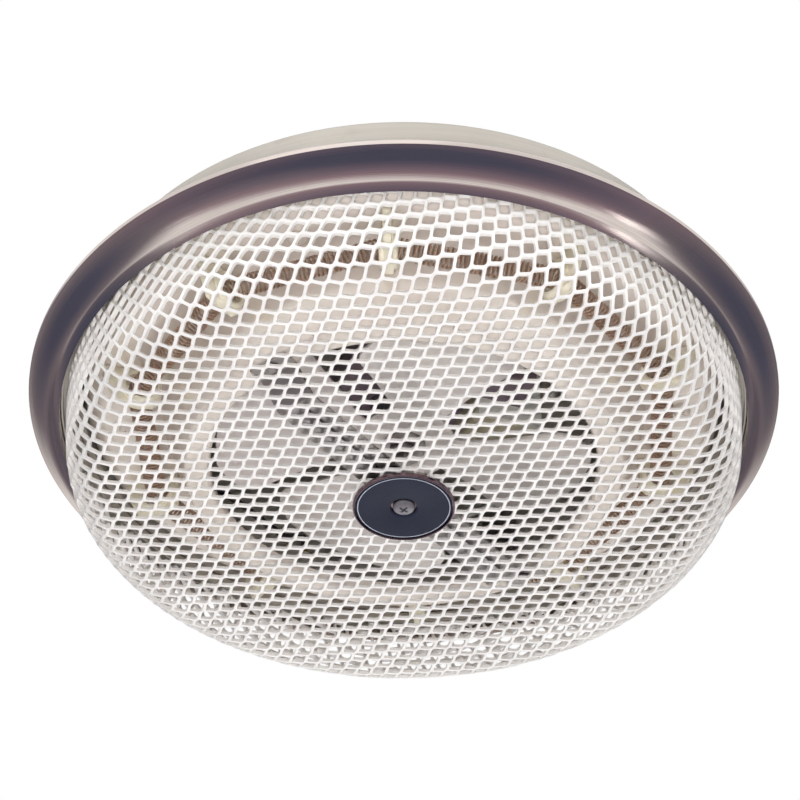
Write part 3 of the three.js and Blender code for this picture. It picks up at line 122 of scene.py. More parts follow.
class Graph:
    """Adds and links nodes in one node tree."""

    def __init__(self, tree: bpy.types.NodeTree) -> None:
        """Keeps the tree to work on."""
        self.tree = tree

    @classmethod
    def emptied(cls, owner: bpy.types.Material | bpy.types.World) -> Graph:
        """Starts a graph in the emptied node tree of a material or a world.

        Args:
            owner: The material or the world.

        Returns:
            The graph.
        """
        owner.use_nodes = True
        owner.node_tree.nodes.clear()
        return cls(owner.node_tree)

    def node(
        self, kind: str, inputs: dict[str | int, object] | None = None, **settings: object
    ) -> bpy.types.Node:
        """Adds a node.

        Args:
            kind: The node's type name, without the ShaderNode prefix.
            inputs: A value or a socket for each input, by its name or number.
            settings: Values for the node's own properties.

        Returns:
            The node.
        """
        made = self.tree.nodes.new(kind if kind.startswith("Node") else f"ShaderNode{kind}")
        for name, value in settings.items():
            setattr(made, name, value)
        for name, value in (inputs or {}).items():
            if isinstance(value, Socket):
                self.tree.links.new(value, made.inputs[name])
            else:
                made.inputs[name].default_value = value
        return made

    def math(self, operation: str, first: object, second: object = 0.0) -> Socket:
        """Adds a Math node and returns its result."""
        return self.node("Math", {0: first, 1: second}, operation=operation).outputs[0]

    def spread(
        self, value: object, low: object, high: object, start: float = 0.0, end: float = 1.0
    ) -> Socket:
        """Maps a value from start..end to low..high and returns the result."""
        inputs = {"Value": value, "From Min": start, "From Max": end, "To Min": low, "To Max": high}
        return self.node("MapRange", inputs).outputs[0]

    def noise(self, vector: object, scale: object, band: NoiseBand) -> Socket:
        """Adds a Noise Texture and returns its value, spread over 0 to 1."""
        noise = self.node("TexNoise", {"Vector": vector, "Scale": scale, "Detail": band.detail})
        return self.spread(noise.outputs[0], 0.0, 1.0, band.start, band.end)

    def blend(self, share: object, first: object, second: object) -> Socket:
        """Mixes two colours, in the Mix node's colour sockets, and returns the result."""
        return self.node("Mix", {0: share, 6: first, 7: second}, data_type="RGBA").outputs[2]

    def off_axis(self, axes: bpy.types.NodeOutputs) -> Socket:
        """Gives the distance from the Z axis, from a place's separate axes."""
        squares = [self.math("MULTIPLY", axis, axis) for axis in axes[:2]]
        return self.math("SQRT", self.math("ADD", *squares))

    def seen_by(self, *rays: str) -> Socket:
        """Gives 1 to the named kinds of ray and 0 to all others.

        Args:
            rays: The names of the Light Path node's outputs.

        Returns:
            The result.
        """
        path = self.node("LightPath").outputs
        seen = path[rays[0]]
        for ray in rays[1:]:
            seen = self.math("MAXIMUM", seen, path[ray])
        return seen


class ShaderGroup(Graph):
    """One shader node group with named inputs and outputs."""

    def __init__(self, name: str, takes: dict[str, str], gives: dict[str, str]) -> None:
        """Starts the group.

        Args:
            name: The group's name.
            takes: The kind of each input, by name.
            gives: The kind of each output, by name.
        """
        super().__init__(bpy.data.node_groups.new(name, "ShaderNodeTree"))
        for side, sockets in (("INPUT", takes), ("OUTPUT", gives)):
            for socket, kind in sockets.items():
                kind = f"NodeSocket{kind}"
                self.tree.interface.new_socket(socket, in_out=side, socket_type=kind)
        self.given = self.node("NodeGroupInput").outputs

    def finished(self, results: dict[str, Socket]) -> bpy.types.NodeTree:
        """Links the results to the group's outputs and returns the group."""
        self.node("NodeGroupOutput", results)
        return self.tree


class SurfaceGroups:
    """The shader node groups that the finishes share.

    A grain group gives the vector that the noise of the fine lines reads. An axis of which that
    vector keeps a small share is the one that the lines run along.
    """

    DRIFT_SCALE = 180.0
    DRIFT = (0.003, 0.003, 0.003)
    ROUND_SHARE = 0.0015
    ROLLED_SHARES = (0.04, 1.0, 1.0)
    STACKED_SHARES = (0.02, 0.02, 1.0)
    TAPED_SHARES = (0.08, 1.0, 0.08)
    TAPE_SLANT = 0.45
    CLOUDS = NoiseBand(4.0, 0.35, 0.68)
    LINES = NoiseBand(3.0, 0.3, 0.7)
    MARKS = NoiseBand(2.0, 0.62, 0.75)
    MARK_FINENESS = 9.0
    MARK_TONE = 0.25
    MARK_HEIGHT = 0.5

    def __init__(self) -> None:
        """Builds each group once."""
        self.direction = {
            Grain.CLOUDY: self.cloudy_vector(),
            Grain.TURNED: self.turned_vector(),
            Grain.ROLLED: self.drawn_vector("rolled_grain", self.ROLLED_SHARES),
            Grain.STACKED: self.drawn_vector("stacked_grain", self.STACKED_SHARES),
            Grain.TAPED: self.drawn_vector("taped_grain", self.TAPED_SHARES, self.TAPE_SLANT),
        }
        self.tone = self.tone_group()
        self.ring_line = self.ring_line_group()

    @staticmethod
    def grain_group(name: str) -> ShaderGroup:
        """Starts a group that turns one vector into another."""
        return ShaderGroup(name, {"Vector": "Vector"}, {"Vector": "Vector"})

    def cloudy_vector(self) -> bpy.types.NodeTree:
        """Grain with no direction: the place, pushed about a little so that no lines form.

        Returns:
            The group.
        """
        graph = self.grain_group("cloudy_grain")
        place = graph.given["Vector"]
        drift = graph.node("TexNoise", {"Vector": place, "Scale": self.DRIFT_SCALE}).outputs[1]
        inputs = {0: drift, 1: self.DRIFT, 2: place}
        pushed = graph.node("VectorMath", inputs, operation="MULTIPLY_ADD")
        return graph.finished({"Vector": pushed.outputs[0]})

    def turned_vector(self) -> bpy.types.NodeTree:
        """Lines that run round the heater's axis, as spinning and turning leave them.

        Returns:
            The group.
        """
        graph = self.grain_group("turned_grain")
        axes = graph.node("SeparateXYZ", {0: graph.given["Vector"]}).outputs
        radius = graph.off_axis(axes)
        turn = graph.math("MULTIPLY", graph.math("ARCTAN2", axes[1], axes[0]), self.ROUND_SHARE)
        packed = graph.node("CombineXYZ", {0: radius, 1: turn, 2: axes[2]})
        return graph.finished({"Vector": packed.outputs[0]})

    def drawn_vector(self, name: str, shares: Place, slant: float = 0.0) -> bpy.types.NodeTree:
        """Straight lines, as rolling, stacking and winding leave them.

        Args:
            name: The group's name.
            shares: How much of each axis the vector keeps.
            slant: How far the vector is first turned about Z.

        Returns:
            The group.
        """
        graph = self.grain_group(name)
        place = graph.given["Vector"]
        if slant:
            inputs = {"Vector": place, "Angle": slant}
            place = graph.node("VectorRotate", inputs, rotation_type="Z_AXIS").outputs[0]
        drawn = graph.node("VectorMath", {0: place, 1: shares}, operation="MULTIPLY")
        return graph.finished({"Vector": drawn.outputs[0]})

    def tone_group(self) -> bpy.types.NodeTree:
        """Colour, roughness and height with soft clouds, fine lines and small marks.

        Returns:
            The group.
        """
        takes = {"Place": "Vector", "Lines": "Vector", "Light": "Color", "Dark": "Color"}
        for amount in ("Cloud Scale", "Line Scale", "Line Share", "Smooth", "Rough"):
            takes[amount] = "Float"
        gives = {"Color": "Color", "Roughness": "Float", "Height": "Float"}
        graph = ShaderGroup("surface_tone", takes, gives)
        given = graph.given
        share = given["Line Share"]
        cloud = graph.noise(given["Place"], given["Cloud Scale"], self.CLOUDS)
        lines = graph.noise(given["Lines"], given["Line Scale"], self.LINES)
        mark_scale = graph.math("MULTIPLY", given["Cloud Scale"], self.MARK_FINENESS)
        marks = graph.noise(given["Place"], mark_scale, self.MARKS)
        lined = graph.math("MULTIPLY", lines, share)
        clouded = graph.math("MULTIPLY", cloud, graph.math("SUBTRACT", 1.0, share))
        even = graph.math("ADD", lined, clouded)
        marked = graph.math("ADD", even, graph.math("MULTIPLY", marks, self.MARK_TONE))
        marked = graph.math("MINIMUM", marked, 1.0)
        raised = graph.math("MULTIPLY", marks, self.MARK_HEIGHT)
        return graph.finished(
            {
                "Color": graph.blend(marked, given["Light"], given["Dark"]),
                "Roughness": graph.spread(marked, given["Smooth"], given["Rough"]),
                "Height": graph.math("ADD", lines, raised),
            }
        )

    @staticmethod
    def ring_line_group() -> bpy.types.NodeTree:
        """A mask for a thin line round the axis, at a radius.

        Returns:
            The group.
        """
        takes = {"Vector": "Vector", "Radius": "Float", "Half Width": "Float"}
        graph = ShaderGroup("ring_line", takes, {"Mask": "Float"})
        axes = graph.node("SeparateXYZ", {0: graph.given["Vector"]}).outputs
        off = graph.math("SUBTRACT", graph.off_axis(axes), graph.given["Radius"])
        off = graph.math("ABSOLUTE", off)
        return graph.finished({"Mask": graph.math("LESS_THAN", off, graph.given["Half Width"])})


@dataclass(frozen=True)
class Finish:
    """One material: two tones, how they change over the surface, and how it shines."""

    name: str
    light: Colour
    dark: Colour
    metallic: float
    smooth: float
    rough: float
    grain: Grain = Grain.CLOUDY
    cloud_scale: float = 14.0
    line_scale: float = 900.0
    line_share: float = 0.35
    bump: float = 0.05
    bump_depth: float = 0.0004
    specular: float = 0.5
    ring_radius: float = 0.0
    ring_half_width: float = 0.16
    ring_tone: Colour = (0.4, 0.42, 0.48)

    def build(self, groups: SurfaceGroups) -> bpy.types.Material:
        """Makes the material.

        Args:
            groups: The shared node groups.

        Returns:
            The material, with Object coordinates behind all its patterns.
        """
        material = bpy.data.materials.new(self.name)
        graph = Graph.emptied(material)
        place = graph.node("TexCoord").outputs["Object"]
        grain = graph.node("Group", {"Vector": place}, node_tree=groups.direction[self.grain])
        inputs = {
            "Place": place,
            "Lines": grain.outputs["Vector"],
            "Light": (*self.light, 1.0),
            "Dark": (*self.dark, 1.0),
            "Cloud Scale": self.cloud_scale,
            "Line Scale": self.line_scale,
            "Line Share": self.line_share,
            "Smooth": self.smooth,
            "Rough": self.rough,
        }
        tone = graph.node("Group", inputs, node_tree=groups.tone).outputs
        inputs = {"Height": tone["Height"], "Strength": self.bump, "Distance": self.bump_depth}
        bump = graph.node("Bump", inputs)
        inputs = {
            "Base Color": self.ringed(graph, place, tone["Color"], groups),
            "Roughness": tone["Roughness"],
            "Metallic": self.metallic,
            "Normal": bump.outputs[0],
            "Specular IOR Level": self.specular,
        }
        shader = graph.node("BsdfPrincipled", inputs)
        graph.node("OutputMaterial", {"Surface": shader.outputs[0]})
        return material

    def ringed(self, graph: Graph, place: Socket, colour: Socket, groups: SurfaceGroups) -> Socket:
        """Adds the thin line round the axis, where the finish has one.

        Args:
            graph: The material's graph.
            place: The Object coordinates.
            colour: The colour without the line.
            groups: The shared node groups.

        Returns:
            The colour with the line.
        """
        if not self.ring_radius:
            return colour
        inputs = {
            "Vector": place,
            "Radius": self.ring_radius * MM,
            "Half Width": self.ring_half_width * MM,
        }
        ring = graph.node("Group", inputs, node_tree=groups.ring_line)
        return graph.blend(ring.outputs["Mask"], colour, (*self.ring_tone, 1.0))


FINISHES: tuple[Finish, ...] = (
    Finish(
        "drum_aluminium", srgb(196, 190, 181), srgb(176, 170, 161), metallic=0.35,
        smooth=0.3, rough=0.45, grain=Grain.TURNED, line_scale=1500.0,
    ),
    Finish(
        "rim_aluminium", srgb(216, 205, 199), srgb(200, 188, 182), metallic=1.0,
        smooth=0.14, rough=0.24, grain=Grain.TURNED, line_scale=2200.0, line_share=0.5, bump=0.03,
    ),
    Finish(
        "grille_aluminium", srgb(250, 248, 245), srgb(236, 233, 230), metallic=0.35,
        smooth=0.34, rough=0.5, cloud_scale=60.0, bump=0.08,
    ),
    Finish(
        "reflector_aluminium", srgb(250, 242, 234), srgb(238, 227, 216), metallic=0.45,
        smooth=0.14, rough=0.26, grain=Grain.TURNED, line_scale=1800.0,
    ),
    Finish(
        "fan_aluminium", srgb(250, 244, 240), srgb(236, 227, 221), metallic=0.4,
        smooth=0.28, rough=0.42, grain=Grain.ROLLED, line_scale=1200.0,
    ),
    Finish(
        "plated_steel", srgb(206, 204, 200), srgb(178, 175, 172), metallic=1.0,
        smooth=0.22, rough=0.4, grain=Grain.ROLLED,
    ),
    Finish(
        "dark_steel", srgb(150, 147, 152), srgb(112, 109, 115), metallic=0.7,
        smooth=0.28, rough=0.45, cloud_scale=120.0,
    ),
    Finish(
        "laminations", srgb(170, 152, 160), srgb(128, 112, 122), metallic=0.3,
        smooth=0.4, rough=0.62, grain=Grain.STACKED, line_scale=2600.0, line_share=0.7, bump=0.35,
    ),
    Finish(
        "copper", srgb(196, 132, 104), srgb(160, 104, 82), metallic=1.0,
        smooth=0.22, rough=0.36, grain=Grain.TURNED,
    ),
    # Copper darkened to a purple-grey for the badge's cup: a painted dark reflection, not a stain.
    Finish(
        "copper_with_painted_reflection", srgb(150, 128, 132), srgb(100, 86, 96), metallic=1.0,
        smooth=0.2, rough=0.34, grain=Grain.TURNED, cloud_scale=90.0,
    ),
    Finish(
        "brass", srgb(214, 186, 126), srgb(178, 146, 88), metallic=1.0,
        smooth=0.25, rough=0.42, cloud_scale=80.0,
    ),
    Finish(
        "resistance_wire", srgb(220, 192, 170), srgb(160, 130, 110), metallic=0.7,
        smooth=0.25, rough=0.42, cloud_scale=90.0, bump=0.1,
    ),
    Finish(
        "ceramic", srgb(240, 234, 216), srgb(222, 213, 188), metallic=0.0,
        smooth=0.42, rough=0.62, cloud_scale=70.0, bump=0.12,
    ),
    Finish(
        "winding_wrap", srgb(232, 224, 200), srgb(196, 184, 152), metallic=0.0,
        smooth=0.7, rough=0.85, grain=Grain.TAPED, line_scale=420.0, line_share=0.75, bump=0.5,
    ),
    Finish(
        "dark_plastic", srgb(36, 39, 55), srgb(30, 33, 47), metallic=0.0,
        smooth=0.3, rough=0.4, cloud_scale=50.0, specular=0.15, ring_radius=17.2,
    ),
    Finish(
        "white_plastic", srgb(236, 234, 228), srgb(222, 219, 210), metallic=0.0,
        smooth=0.4, rough=0.55,
    ),
    Finish(
        "black_sleeve", srgb(84, 76, 82), srgb(62, 56, 62), metallic=0.0,
        smooth=0.5, rough=0.7, cloud_scale=200.0,
    ),
    Finish(
        "white_sleeve", srgb(232, 230, 224), srgb(214, 210, 202), metallic=0.0,
        smooth=0.5, rough=0.7, cloud_scale=200.0,
    ),
)


# Mesh helpers


def eased(value: float) -> float:
    """Holds a value between 0 and 1 and eases it at both ends."""
    share = min(1.0, max(0.0, value))
    return share * share * (3 - 2 * share)


def arc(centre: Spot, radius: float, start: float, end: float, steps: int) -> Profile:
    """Points along an arc of an outline, both ends included."""
    turns = (start + (end - start) * i / steps for i in range(steps + 1))
    return [(centre[0] + radius * math.cos(a), centre[1] + radius * math.sin(a)) for a in turns]


def curve_between(start: Spot, control: Spot, end: Spot, steps: int) -> Profile:
    """Points along a quadratic curve of an outline.

    Args:
        start: Where the curve starts.
        control: The point that it bends towards.
        end: Where it ends.
        steps: How many straight steps it takes.

    Returns:
        The points, both ends included.
    """
    points = []
    for i in range(steps + 1):
        share = i / steps
        weights = ((1 - share) ** 2, 2 * share * (1 - share), share**2)
        pairs = list(zip(weights, (start, control, end)))
        points.append(tuple(sum(weight * p[axis] for weight, p in pairs) for axis in (0, 1)))
    return points


def spun(profile: Profile, steps: int, closed: bool = False) -> Mesh:
    """Spins an outline of (radius, height) points round Z.

    Args:
        profile: The outline.
        steps: How many steps the spin takes.
        closed: Whether the outline's last point joins its first.

    Returns:
        The mesh, with its poles closed and its faces pointing outwards.
    """
    shape = bmesh.new()
    points = [shape.verts.new((radius, 0.0, height)) for radius, height in profile]
    pairs = list(zip(points, points[1:])) + ([(points[-1], points[0])] if closed else [])
    edges = [shape.edges.new(pair) for pair in pairs]
    bmesh.ops.spin(
        shape, geom=points + edges, cent=ORIGIN, axis=(0, 0, 1), dvec=ORIGIN,
        angle=TURN, steps=steps, use_merge=True,
    )
    bmesh.ops.remove_doubles(shape, verts=shape.verts, dist=POLE_GAP)
    bmesh.ops.recalc_face_normals(shape, faces=shape.faces)
    return shape


def verts_of(geom: Iterable[object]) -> list[bmesh.types.BMVert]:
    """The vertices among an operator's results."""
    return [item for item in geom if isinstance(item, bmesh.types.BMVert)]


def shift(shape: Mesh, place: Vector | Place) -> None:
    """Moves a whole mesh."""
    bmesh.ops.translate(shape, verts=shape.verts, vec=place)


def turn_about(shape: Mesh, angle: float, axis: str) -> None:
    """Turns a whole mesh about an axis through the origin."""
    turn = Matrix.Rotation(angle, 3, axis)
    bmesh.ops.rotate(shape, verts=shape.verts, cent=ORIGIN, matrix=turn)


def face_up(sheet: Mesh) -> None:
    """Turns all the faces of a flat sheet upwards.

    Args:
        sheet: The sheet's mesh, which is changed.
    """
    bmesh.ops.recalc_face_normals(sheet, faces=sheet.faces)
    if next(iter(sheet.faces)).normal.z < 0:
        bmesh.ops.reverse_faces(sheet, faces=sheet.faces)


def block(length: float, width: float, height: float) -> Mesh:
    """Makes a block round the origin.

    Args:
        length: Its size along X.
        width: Its size along Y.
        height: Its size along Z.

    Returns:
        The block's mesh.
    """
    shape = bmesh.new()
    bmesh.ops.create_cube(shape, size=1.0)
    bmesh.ops.scale(shape, verts=shape.verts, vec=(length, width, height))
    return shape


def loose_object(name: str, shape: Mesh) -> bpy.types.Object:
    """Makes a scene object of a mesh.

    Args:
        name: The object's name.
        shape: The mesh, which is freed.

    Returns:
        The object.
    """
    mesh = bpy.data.meshes.new(name)
    shape.to_mesh(mesh)
    shape.free()
    made = bpy.data.objects.new(name, mesh)
    bpy.context.scene.collection.objects.link(made)
    return made


def discard(used: bpy.types.Object) -> None:
    """Removes an object that was only needed for a while, and its mesh.

    Args:
        used: The object.
    """
    mesh = used.data
    bpy.data.objects.remove(used)
    bpy.data.meshes.remove(mesh)


def modified(shape: Mesh, kind: str, **settings: object) -> Mesh:
    """Applies one modifier to a mesh.

    Args:
        shape: The mesh, which is freed.
        kind: The modifier's type.
        settings: Values for the modifier's properties.

    Returns:
        The mesh that the modifier makes.
    """
    held = loose_object("held", shape)
    modifier = held.modifiers.new(kind, kind)
    for name, value in settings.items():
        setattr(modifier, name, value)
    result = bmesh.new()
    result.from_object(held, bpy.context.evaluated_depsgraph_get())
    discard(held)
    return result


def cut(shape: Mesh, cutter: Mesh, operation: str = "DIFFERENCE") -> Mesh:
    """Takes one closed mesh out of another, or joins them.

    Args:
        shape: The mesh that is cut, which is freed.
        cutter: The other mesh, which is freed.
        operation: DIFFERENCE or UNION.

    Returns:
        The result.
    """
    tool = loose_object("tool", cutter)
    result = modified(shape, "BOOLEAN", operation=operation, solver="EXACT", object=tool)
    discard(tool)
    return result


def thickened(shape: Mesh, sheet: float) -> Mesh:
    """Gives an open surface an even wall, half to each side, and frees the surface."""
    return modified(shape, "SOLIDIFY", thickness=sheet, offset=0.0, use_even_offset=True)


def softened(shape: Mesh, width: float) -> None:
    """Bevels the sharp edges of a mesh.

    Args:
        shape: The mesh, which is changed.
        width: How far the bevel runs from the edge.
    """
    sharp = [e for e in shape.edges if e.is_manifold and e.calc_face_angle(0.0) > SOFT_EDGE]
    bmesh.ops.bevel(
        shape, geom=sharp, offset=width, offset_type="OFFSET", segments=2, profile=0.5,
        affect="EDGES", material=-1, clamp_overlap=True,
    )


@dataclass
class Workshop:
    """Finishes pieces: puts them in metres, dresses them and sets them on their body."""

    materials: dict[str, bpy.types.Material]
    made: int = 0

    def piece(
        self,
        name: str,
        shape: Mesh,
        slot: str,
        node: str,
        body: Body = Body.HEATER,
        sharper_than: float = 35.0,
        finish: str = "",
    ) -> None:
        """Makes a finished piece of a mesh in millimetres.

        Args:
            name: The piece's name.
            shape: Its mesh, which is freed.
            slot: The record's material slot.
            node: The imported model's node that it stands for.
            body: The body that it rides on.
            sharper_than: Edges over this angle, in degrees, stay sharp.
            finish: The finish's name, where it isn't the slot's own.
        """
        bmesh.ops.scale(shape, verts=shape.verts, vec=(MM, MM, MM))
        made = loose_object(name, shape)
        made.data.shade_smooth()
        made.data.set_sharp_from_angle(angle=math.radians(sharper_than))
        made.data.materials.append(self.materials[finish or slot])
        self.settle(made, node, body)

    def settle(self, made: bpy.types.Object, node: str, body: Body) -> None:
        """Sets a dressed object on its body and notes what it stands for.

        Args:
            made: The object.
            node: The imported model's node that it stands for.
            body: The body that it rides on.
        """
        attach(made, body.value)
        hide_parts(node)
        self.made += 1
        log.info("%s: on %s, for %s", made.name, body.value, node)


# Sub-assemblies


@dataclass
class Drum:
    """The housing pan, with its flange, keyholes, wire hole and ground hole."""

    radius: float = 123.7
    depth: float = 31.4
    sheet: float = 0.8
    corner: float = 1.2
    corner_steps: int = 10
    flange: float = 140.6
    keyhole_half_spacing: float = 44.45
    keyhole_angle: float = math.radians(-25)
    keyhole_head: float = 5.0
    keyhole_slot: float = 2.4
    keyhole_length: float = 9.0
    wire_hole: float = 11.1
    wire_place: Spot = (-20.0, -48.0)
    ground_hole: float = 2.3
    ground_place: Spot = (-47.0, -32.0)
    cutter_height: float = 8.0
    cutter_steps: int = 40
    steps: int = 192

    def shell(self) -> Mesh:
        """The drawn sheet: back, corner, side and flange.

        Returns:
            The mesh, without its holes.
        """
        half = self.sheet / 2
        middle = self.radius - half
        bend = (middle - self.corner, -half - self.corner)
        line = [(0.0, -half), (middle / 2, -half)]
        line += arc(bend, self.corner, QUARTER, 0.0, self.corner_steps)
        line += [(middle, -self.depth + half), (self.flange, -self.depth + half)]
        return thickened(spun(line, self.steps), self.sheet)

    def bar(self, radius: float, x: float, y: float) -> Mesh:
        """A round bar through the back, which cuts a hole.

        Args:
            radius: The bar's radius.
            x: Where it stands along X.
            y: Where it stands along Y.

        Returns:
            The bar's mesh.
        """
        bar = bmesh.new()
        bmesh.ops.create_cone(
            bar, cap_ends=True, segments=self.cutter_steps, radius1=radius, radius2=radius,
            depth=self.cutter_height,
        )
        shift(bar, (x, y, 0))
        return bar

    def keyhole(self, angle: float) -> Mesh:
        """A keyhole's cutter: the head's hole and the slot that runs into it.

        Args:
            angle: Where the keyhole stands round the axis.

        Returns:
            The cutter's mesh.
        """
        slot = block(2 * self.keyhole_slot, self.keyhole_length, self.cutter_height)
        shift(slot, (self.keyhole_half_spacing, self.keyhole_length / 2, 0))
        head = self.bar(self.keyhole_head, self.keyhole_half_spacing, self.keyhole_length)
        tail = self.bar(self.keyhole_slot, self.keyhole_half_spacing, 0.0)
        cutter = cut(cut(slot, head, "UNION"), tail, "UNION")
        turn_about(cutter, angle, "Z")
        return cutter

    def build(self, workshop: Workshop) -> None:
        """Makes the drum.

        Args:
            workshop: What finishes the piece.
        """
        shell = self.shell()
        for cutter in (
            self.keyhole(self.keyhole_angle),
            self.keyhole(self.keyhole_angle + math.pi),
            self.bar(self.wire_hole, *self.wire_place),
            self.bar(self.ground_hole, *self.ground_place),
        ):
            shell = cut(shell, cutter)
        workshop.piece("drum_shell", shell, "drum_aluminium", "housing_pan")


@dataclass
class TrimRing:
    """The flared rim: the hem over the drum's flange, cove, lip, sloped land, wall and ledge."""

    radius: float = 143.0
    sheet: float = 0.8
    hem_top: float = -29.9
    hem_width: float = 3.4
    hem_steps: int = 8
    ledge: float = -32.1
    lip_radius: float = 132.99
    lip_depth: float = 41.3
    lip_width: float = 1.6
    land_drop: float = 1.5
    hollow: float = 3.4
    hollow_steps: int = 20
    ledge_width: float = 5.9
    steps: int = 224

    def build(self, workshop: Workshop) -> None:
        """Makes the ring.

        Args:
            workshop: What finishes the piece.
        """
        half = self.sheet / 2
        edge = self.radius - half
        bend = (self.hem_top - self.ledge) / 2
        fold = -self.lip_depth + half
        start = Vector((edge, self.ledge))
        end = Vector((self.lip_radius - half, fold))
        bulge = Vector((end.y - start.y, start.x - end.x)).normalized() * self.hollow
        control = (start + end) / 2 + bulge
        inner = self.lip_radius - half - self.lip_width
        line = [(edge - bend - self.hem_width, self.hem_top)]
        line += arc((edge - bend, self.hem_top - bend), bend, QUARTER, 0.0, self.hem_steps)
        line += curve_between(tuple(start), tuple(control), tuple(end), self.hollow_steps)
        line += [(inner, fold - self.land_drop), (inner, self.ledge)]
        line += [(inner - self.ledge_width, self.ledge)]
        ring = thickened(spun(line, self.steps), self.sheet)
        workshop.piece("flared_rim", ring, "rim_aluminium", "trim_ring", sharper_than=50.0)


class Sample(NamedTuple):
    """A point of the basket's inner outline.

    The flat radius is the one that it had in the sheet. The draw moves it out so that each ring
    of metal keeps its area.
    """

    place: Vector
    normal: Vector
    flat_radius: float


@dataclass
class GrilleBasket:
    """The basket of expanded metal, drawn from a flat sheet, and the channel round its edge.

    The cells stand in rows. A row leans from X by slant, and the rows follow each other along
    lean, so a cell is a six-sided one whose corners are at thirds of those two steps.
    """

    radius: float = 128.79
    draft: float = 1.6
    corner: float = 19.0
    depth: float = 74.2
    crown: float = 2.0
    top: float = -34.3
    reach: float = 2.0
    crown_steps: int = 60
    corner_steps: int = 40
    wall_steps: int = 30
    pitch: float = 6.157
    row_share: float = 0.99
    slant: float = -0.094
    lean: float = 1.963
    skew_shares: Spot = (0.125, -0.08)
    thirds: tuple[tuple[int, int], ...] = ((2, 1), (1, 2), (-1, 1), (-2, -1), (-1, -2), (1, -1))
    edge_share: float = 0.3
    joint_gap: float = 0.01
    strand: float = 1.14
    strand_depth: float = 1.6
    hole_corner: float = 0.38
    fewest_hole_sides: int = 10
    ridge: float = 0.2
    tilt: float = 0.3
    border: float = 2.0
    channel_height: float = 4.6
    channel_sheet: float = 0.6
    channel_gap: float = 0.9
    channel_top: float = -32.8
    channel_steps: int = 192

    @cached_property
    def meridian(self) -> list[Sample]:
        """The basket's inner outline, from the axis to the cut edge.

        Returns:
            Its samples, in order.
        """
        foot = self.radius - self.reach - self.draft
        bend = self.corner - self.reach
        face = -self.depth + self.reach
        corner = (foot - bend, face + bend)
        low = face - self.crown
        line = curve_between((0.0, low), (corner[0] / 2, low), (corner[0], face), self.crown_steps)
        line += arc(corner, bend, -QUARTER, 0.0, self.corner_steps)[1:]
        run, rise = self.radius - self.reach - foot, self.top - corner[1]
        for i in range(1, self.wall_steps + 1):
            line.append((foot + run * i / self.wall_steps, corner[1] + rise * i / self.wall_steps))
        samples = []
        square = 0.0
        for i, spot in enumerate(line):
            last, following = line[max(i - 1, 0)], line[min(i + 1, len(line) - 1)]
            square += math.dist(spot, last) * (spot[0] + last[0])
            along = (Vector(following) - Vector(last)).normalized()
            samples.append(Sample(Vector(spot), Vector((along.y, -along.x)), math.sqrt(square)))
        return samples

    @property
    def sheet_radius(self) -> float:
        """The radius of the flat sheet."""
        return self.meridian[-1].flat_radius

    def drawn(self, flat: Vector, height: float) -> Vector:
        """Puts a point of the flat sheet on the drawn basket.

        Args:
            flat: The point in the flat sheet.
            height: How far it stands off the basket's inner side.

        Returns:
            The point in the heater's frame.
        """
        distance = min(flat.xy.length, self.sheet_radius)
        low, high = 0, len(self.meridian) - 1
        while high - low > 1:
            middle = (low + high) // 2
            before = self.meridian[middle].flat_radius < distance
            low, high = (middle, high) if before else (low, middle)
        a, b = self.meridian[low], self.meridian[high]
        share = (distance - a.flat_radius) / (b.flat_radius - a.flat_radius)
        place = a.place.lerp(b.place, share) + a.normal.lerp(b.normal, share).normalized() * height
        turn = math.atan2(flat.y, flat.x)
        return Vector((place.x * math.cos(turn), place.x * math.sin(turn), place.y))

    def cell(self, row: Vector, column: Vector) -> Mesh:
        """One skewed six-sided cell round the origin.

        Args:
            row: The step to the next cell of a row.
            column: The step to the next row.

        Returns:
            The mesh, with one face.
        """
        cell = bmesh.new()
        corners = bmesh.ops.create_circle(cell, cap_ends=True, segments=6, radius=1.0)["verts"]
        corners.sort(key=lambda v: math.atan2(v.co.y, v.co.x) % TURN)
        skew = Vector(self.skew_shares) * self.pitch
        for i, (vertex, (p, q)) in enumerate(zip(corners, self.thirds)):
            vertex.co = (*((row * p + column * q) / 3 + (skew if i % 2 else -skew)), 0.0)
        return cell

    def flat_net(self) -> Mesh:
        """The flat sheet's cells side by side, cut short by the border.

        Returns:
            The mesh, with a face for each cell.
        """
        row = Matrix.Rotation(self.slant, 2) @ Vector((self.pitch, 0.0))
        column = Matrix.Rotation(self.lean, 2) @ Vector((self.pitch * self.row_share, 0.0))
        open_radius = self.sheet_radius - self.border
        count = math.ceil(self.sheet_radius / (self.pitch * math.sin(math.pi / 3))) + 1
        net = self.cell(row, column)
        for step in (row, column):
            geom = net.verts[:] + net.edges[:] + net.faces[:]
            for i in (*range(-count, 0), *range(1, count + 1)):
                copy = bmesh.ops.duplicate(net, geom=geom)["geom"]
                bmesh.ops.translate(net, verts=verts_of(copy), vec=(*(step * i), 0.0))
        inside = self.edge_share * self.pitch
        far = [f for f in net.faces if f.calc_center_median().length + inside > open_radius]
        bmesh.ops.delete(net, geom=far, context="FACES")
        bmesh.ops.remove_doubles(net, verts=net.verts, dist=self.joint_gap)
        for vertex in net.verts:
            if vertex.co.length > open_radius:
                vertex.co *= open_radius / vertex.co.length
        face_up(net)
        return net

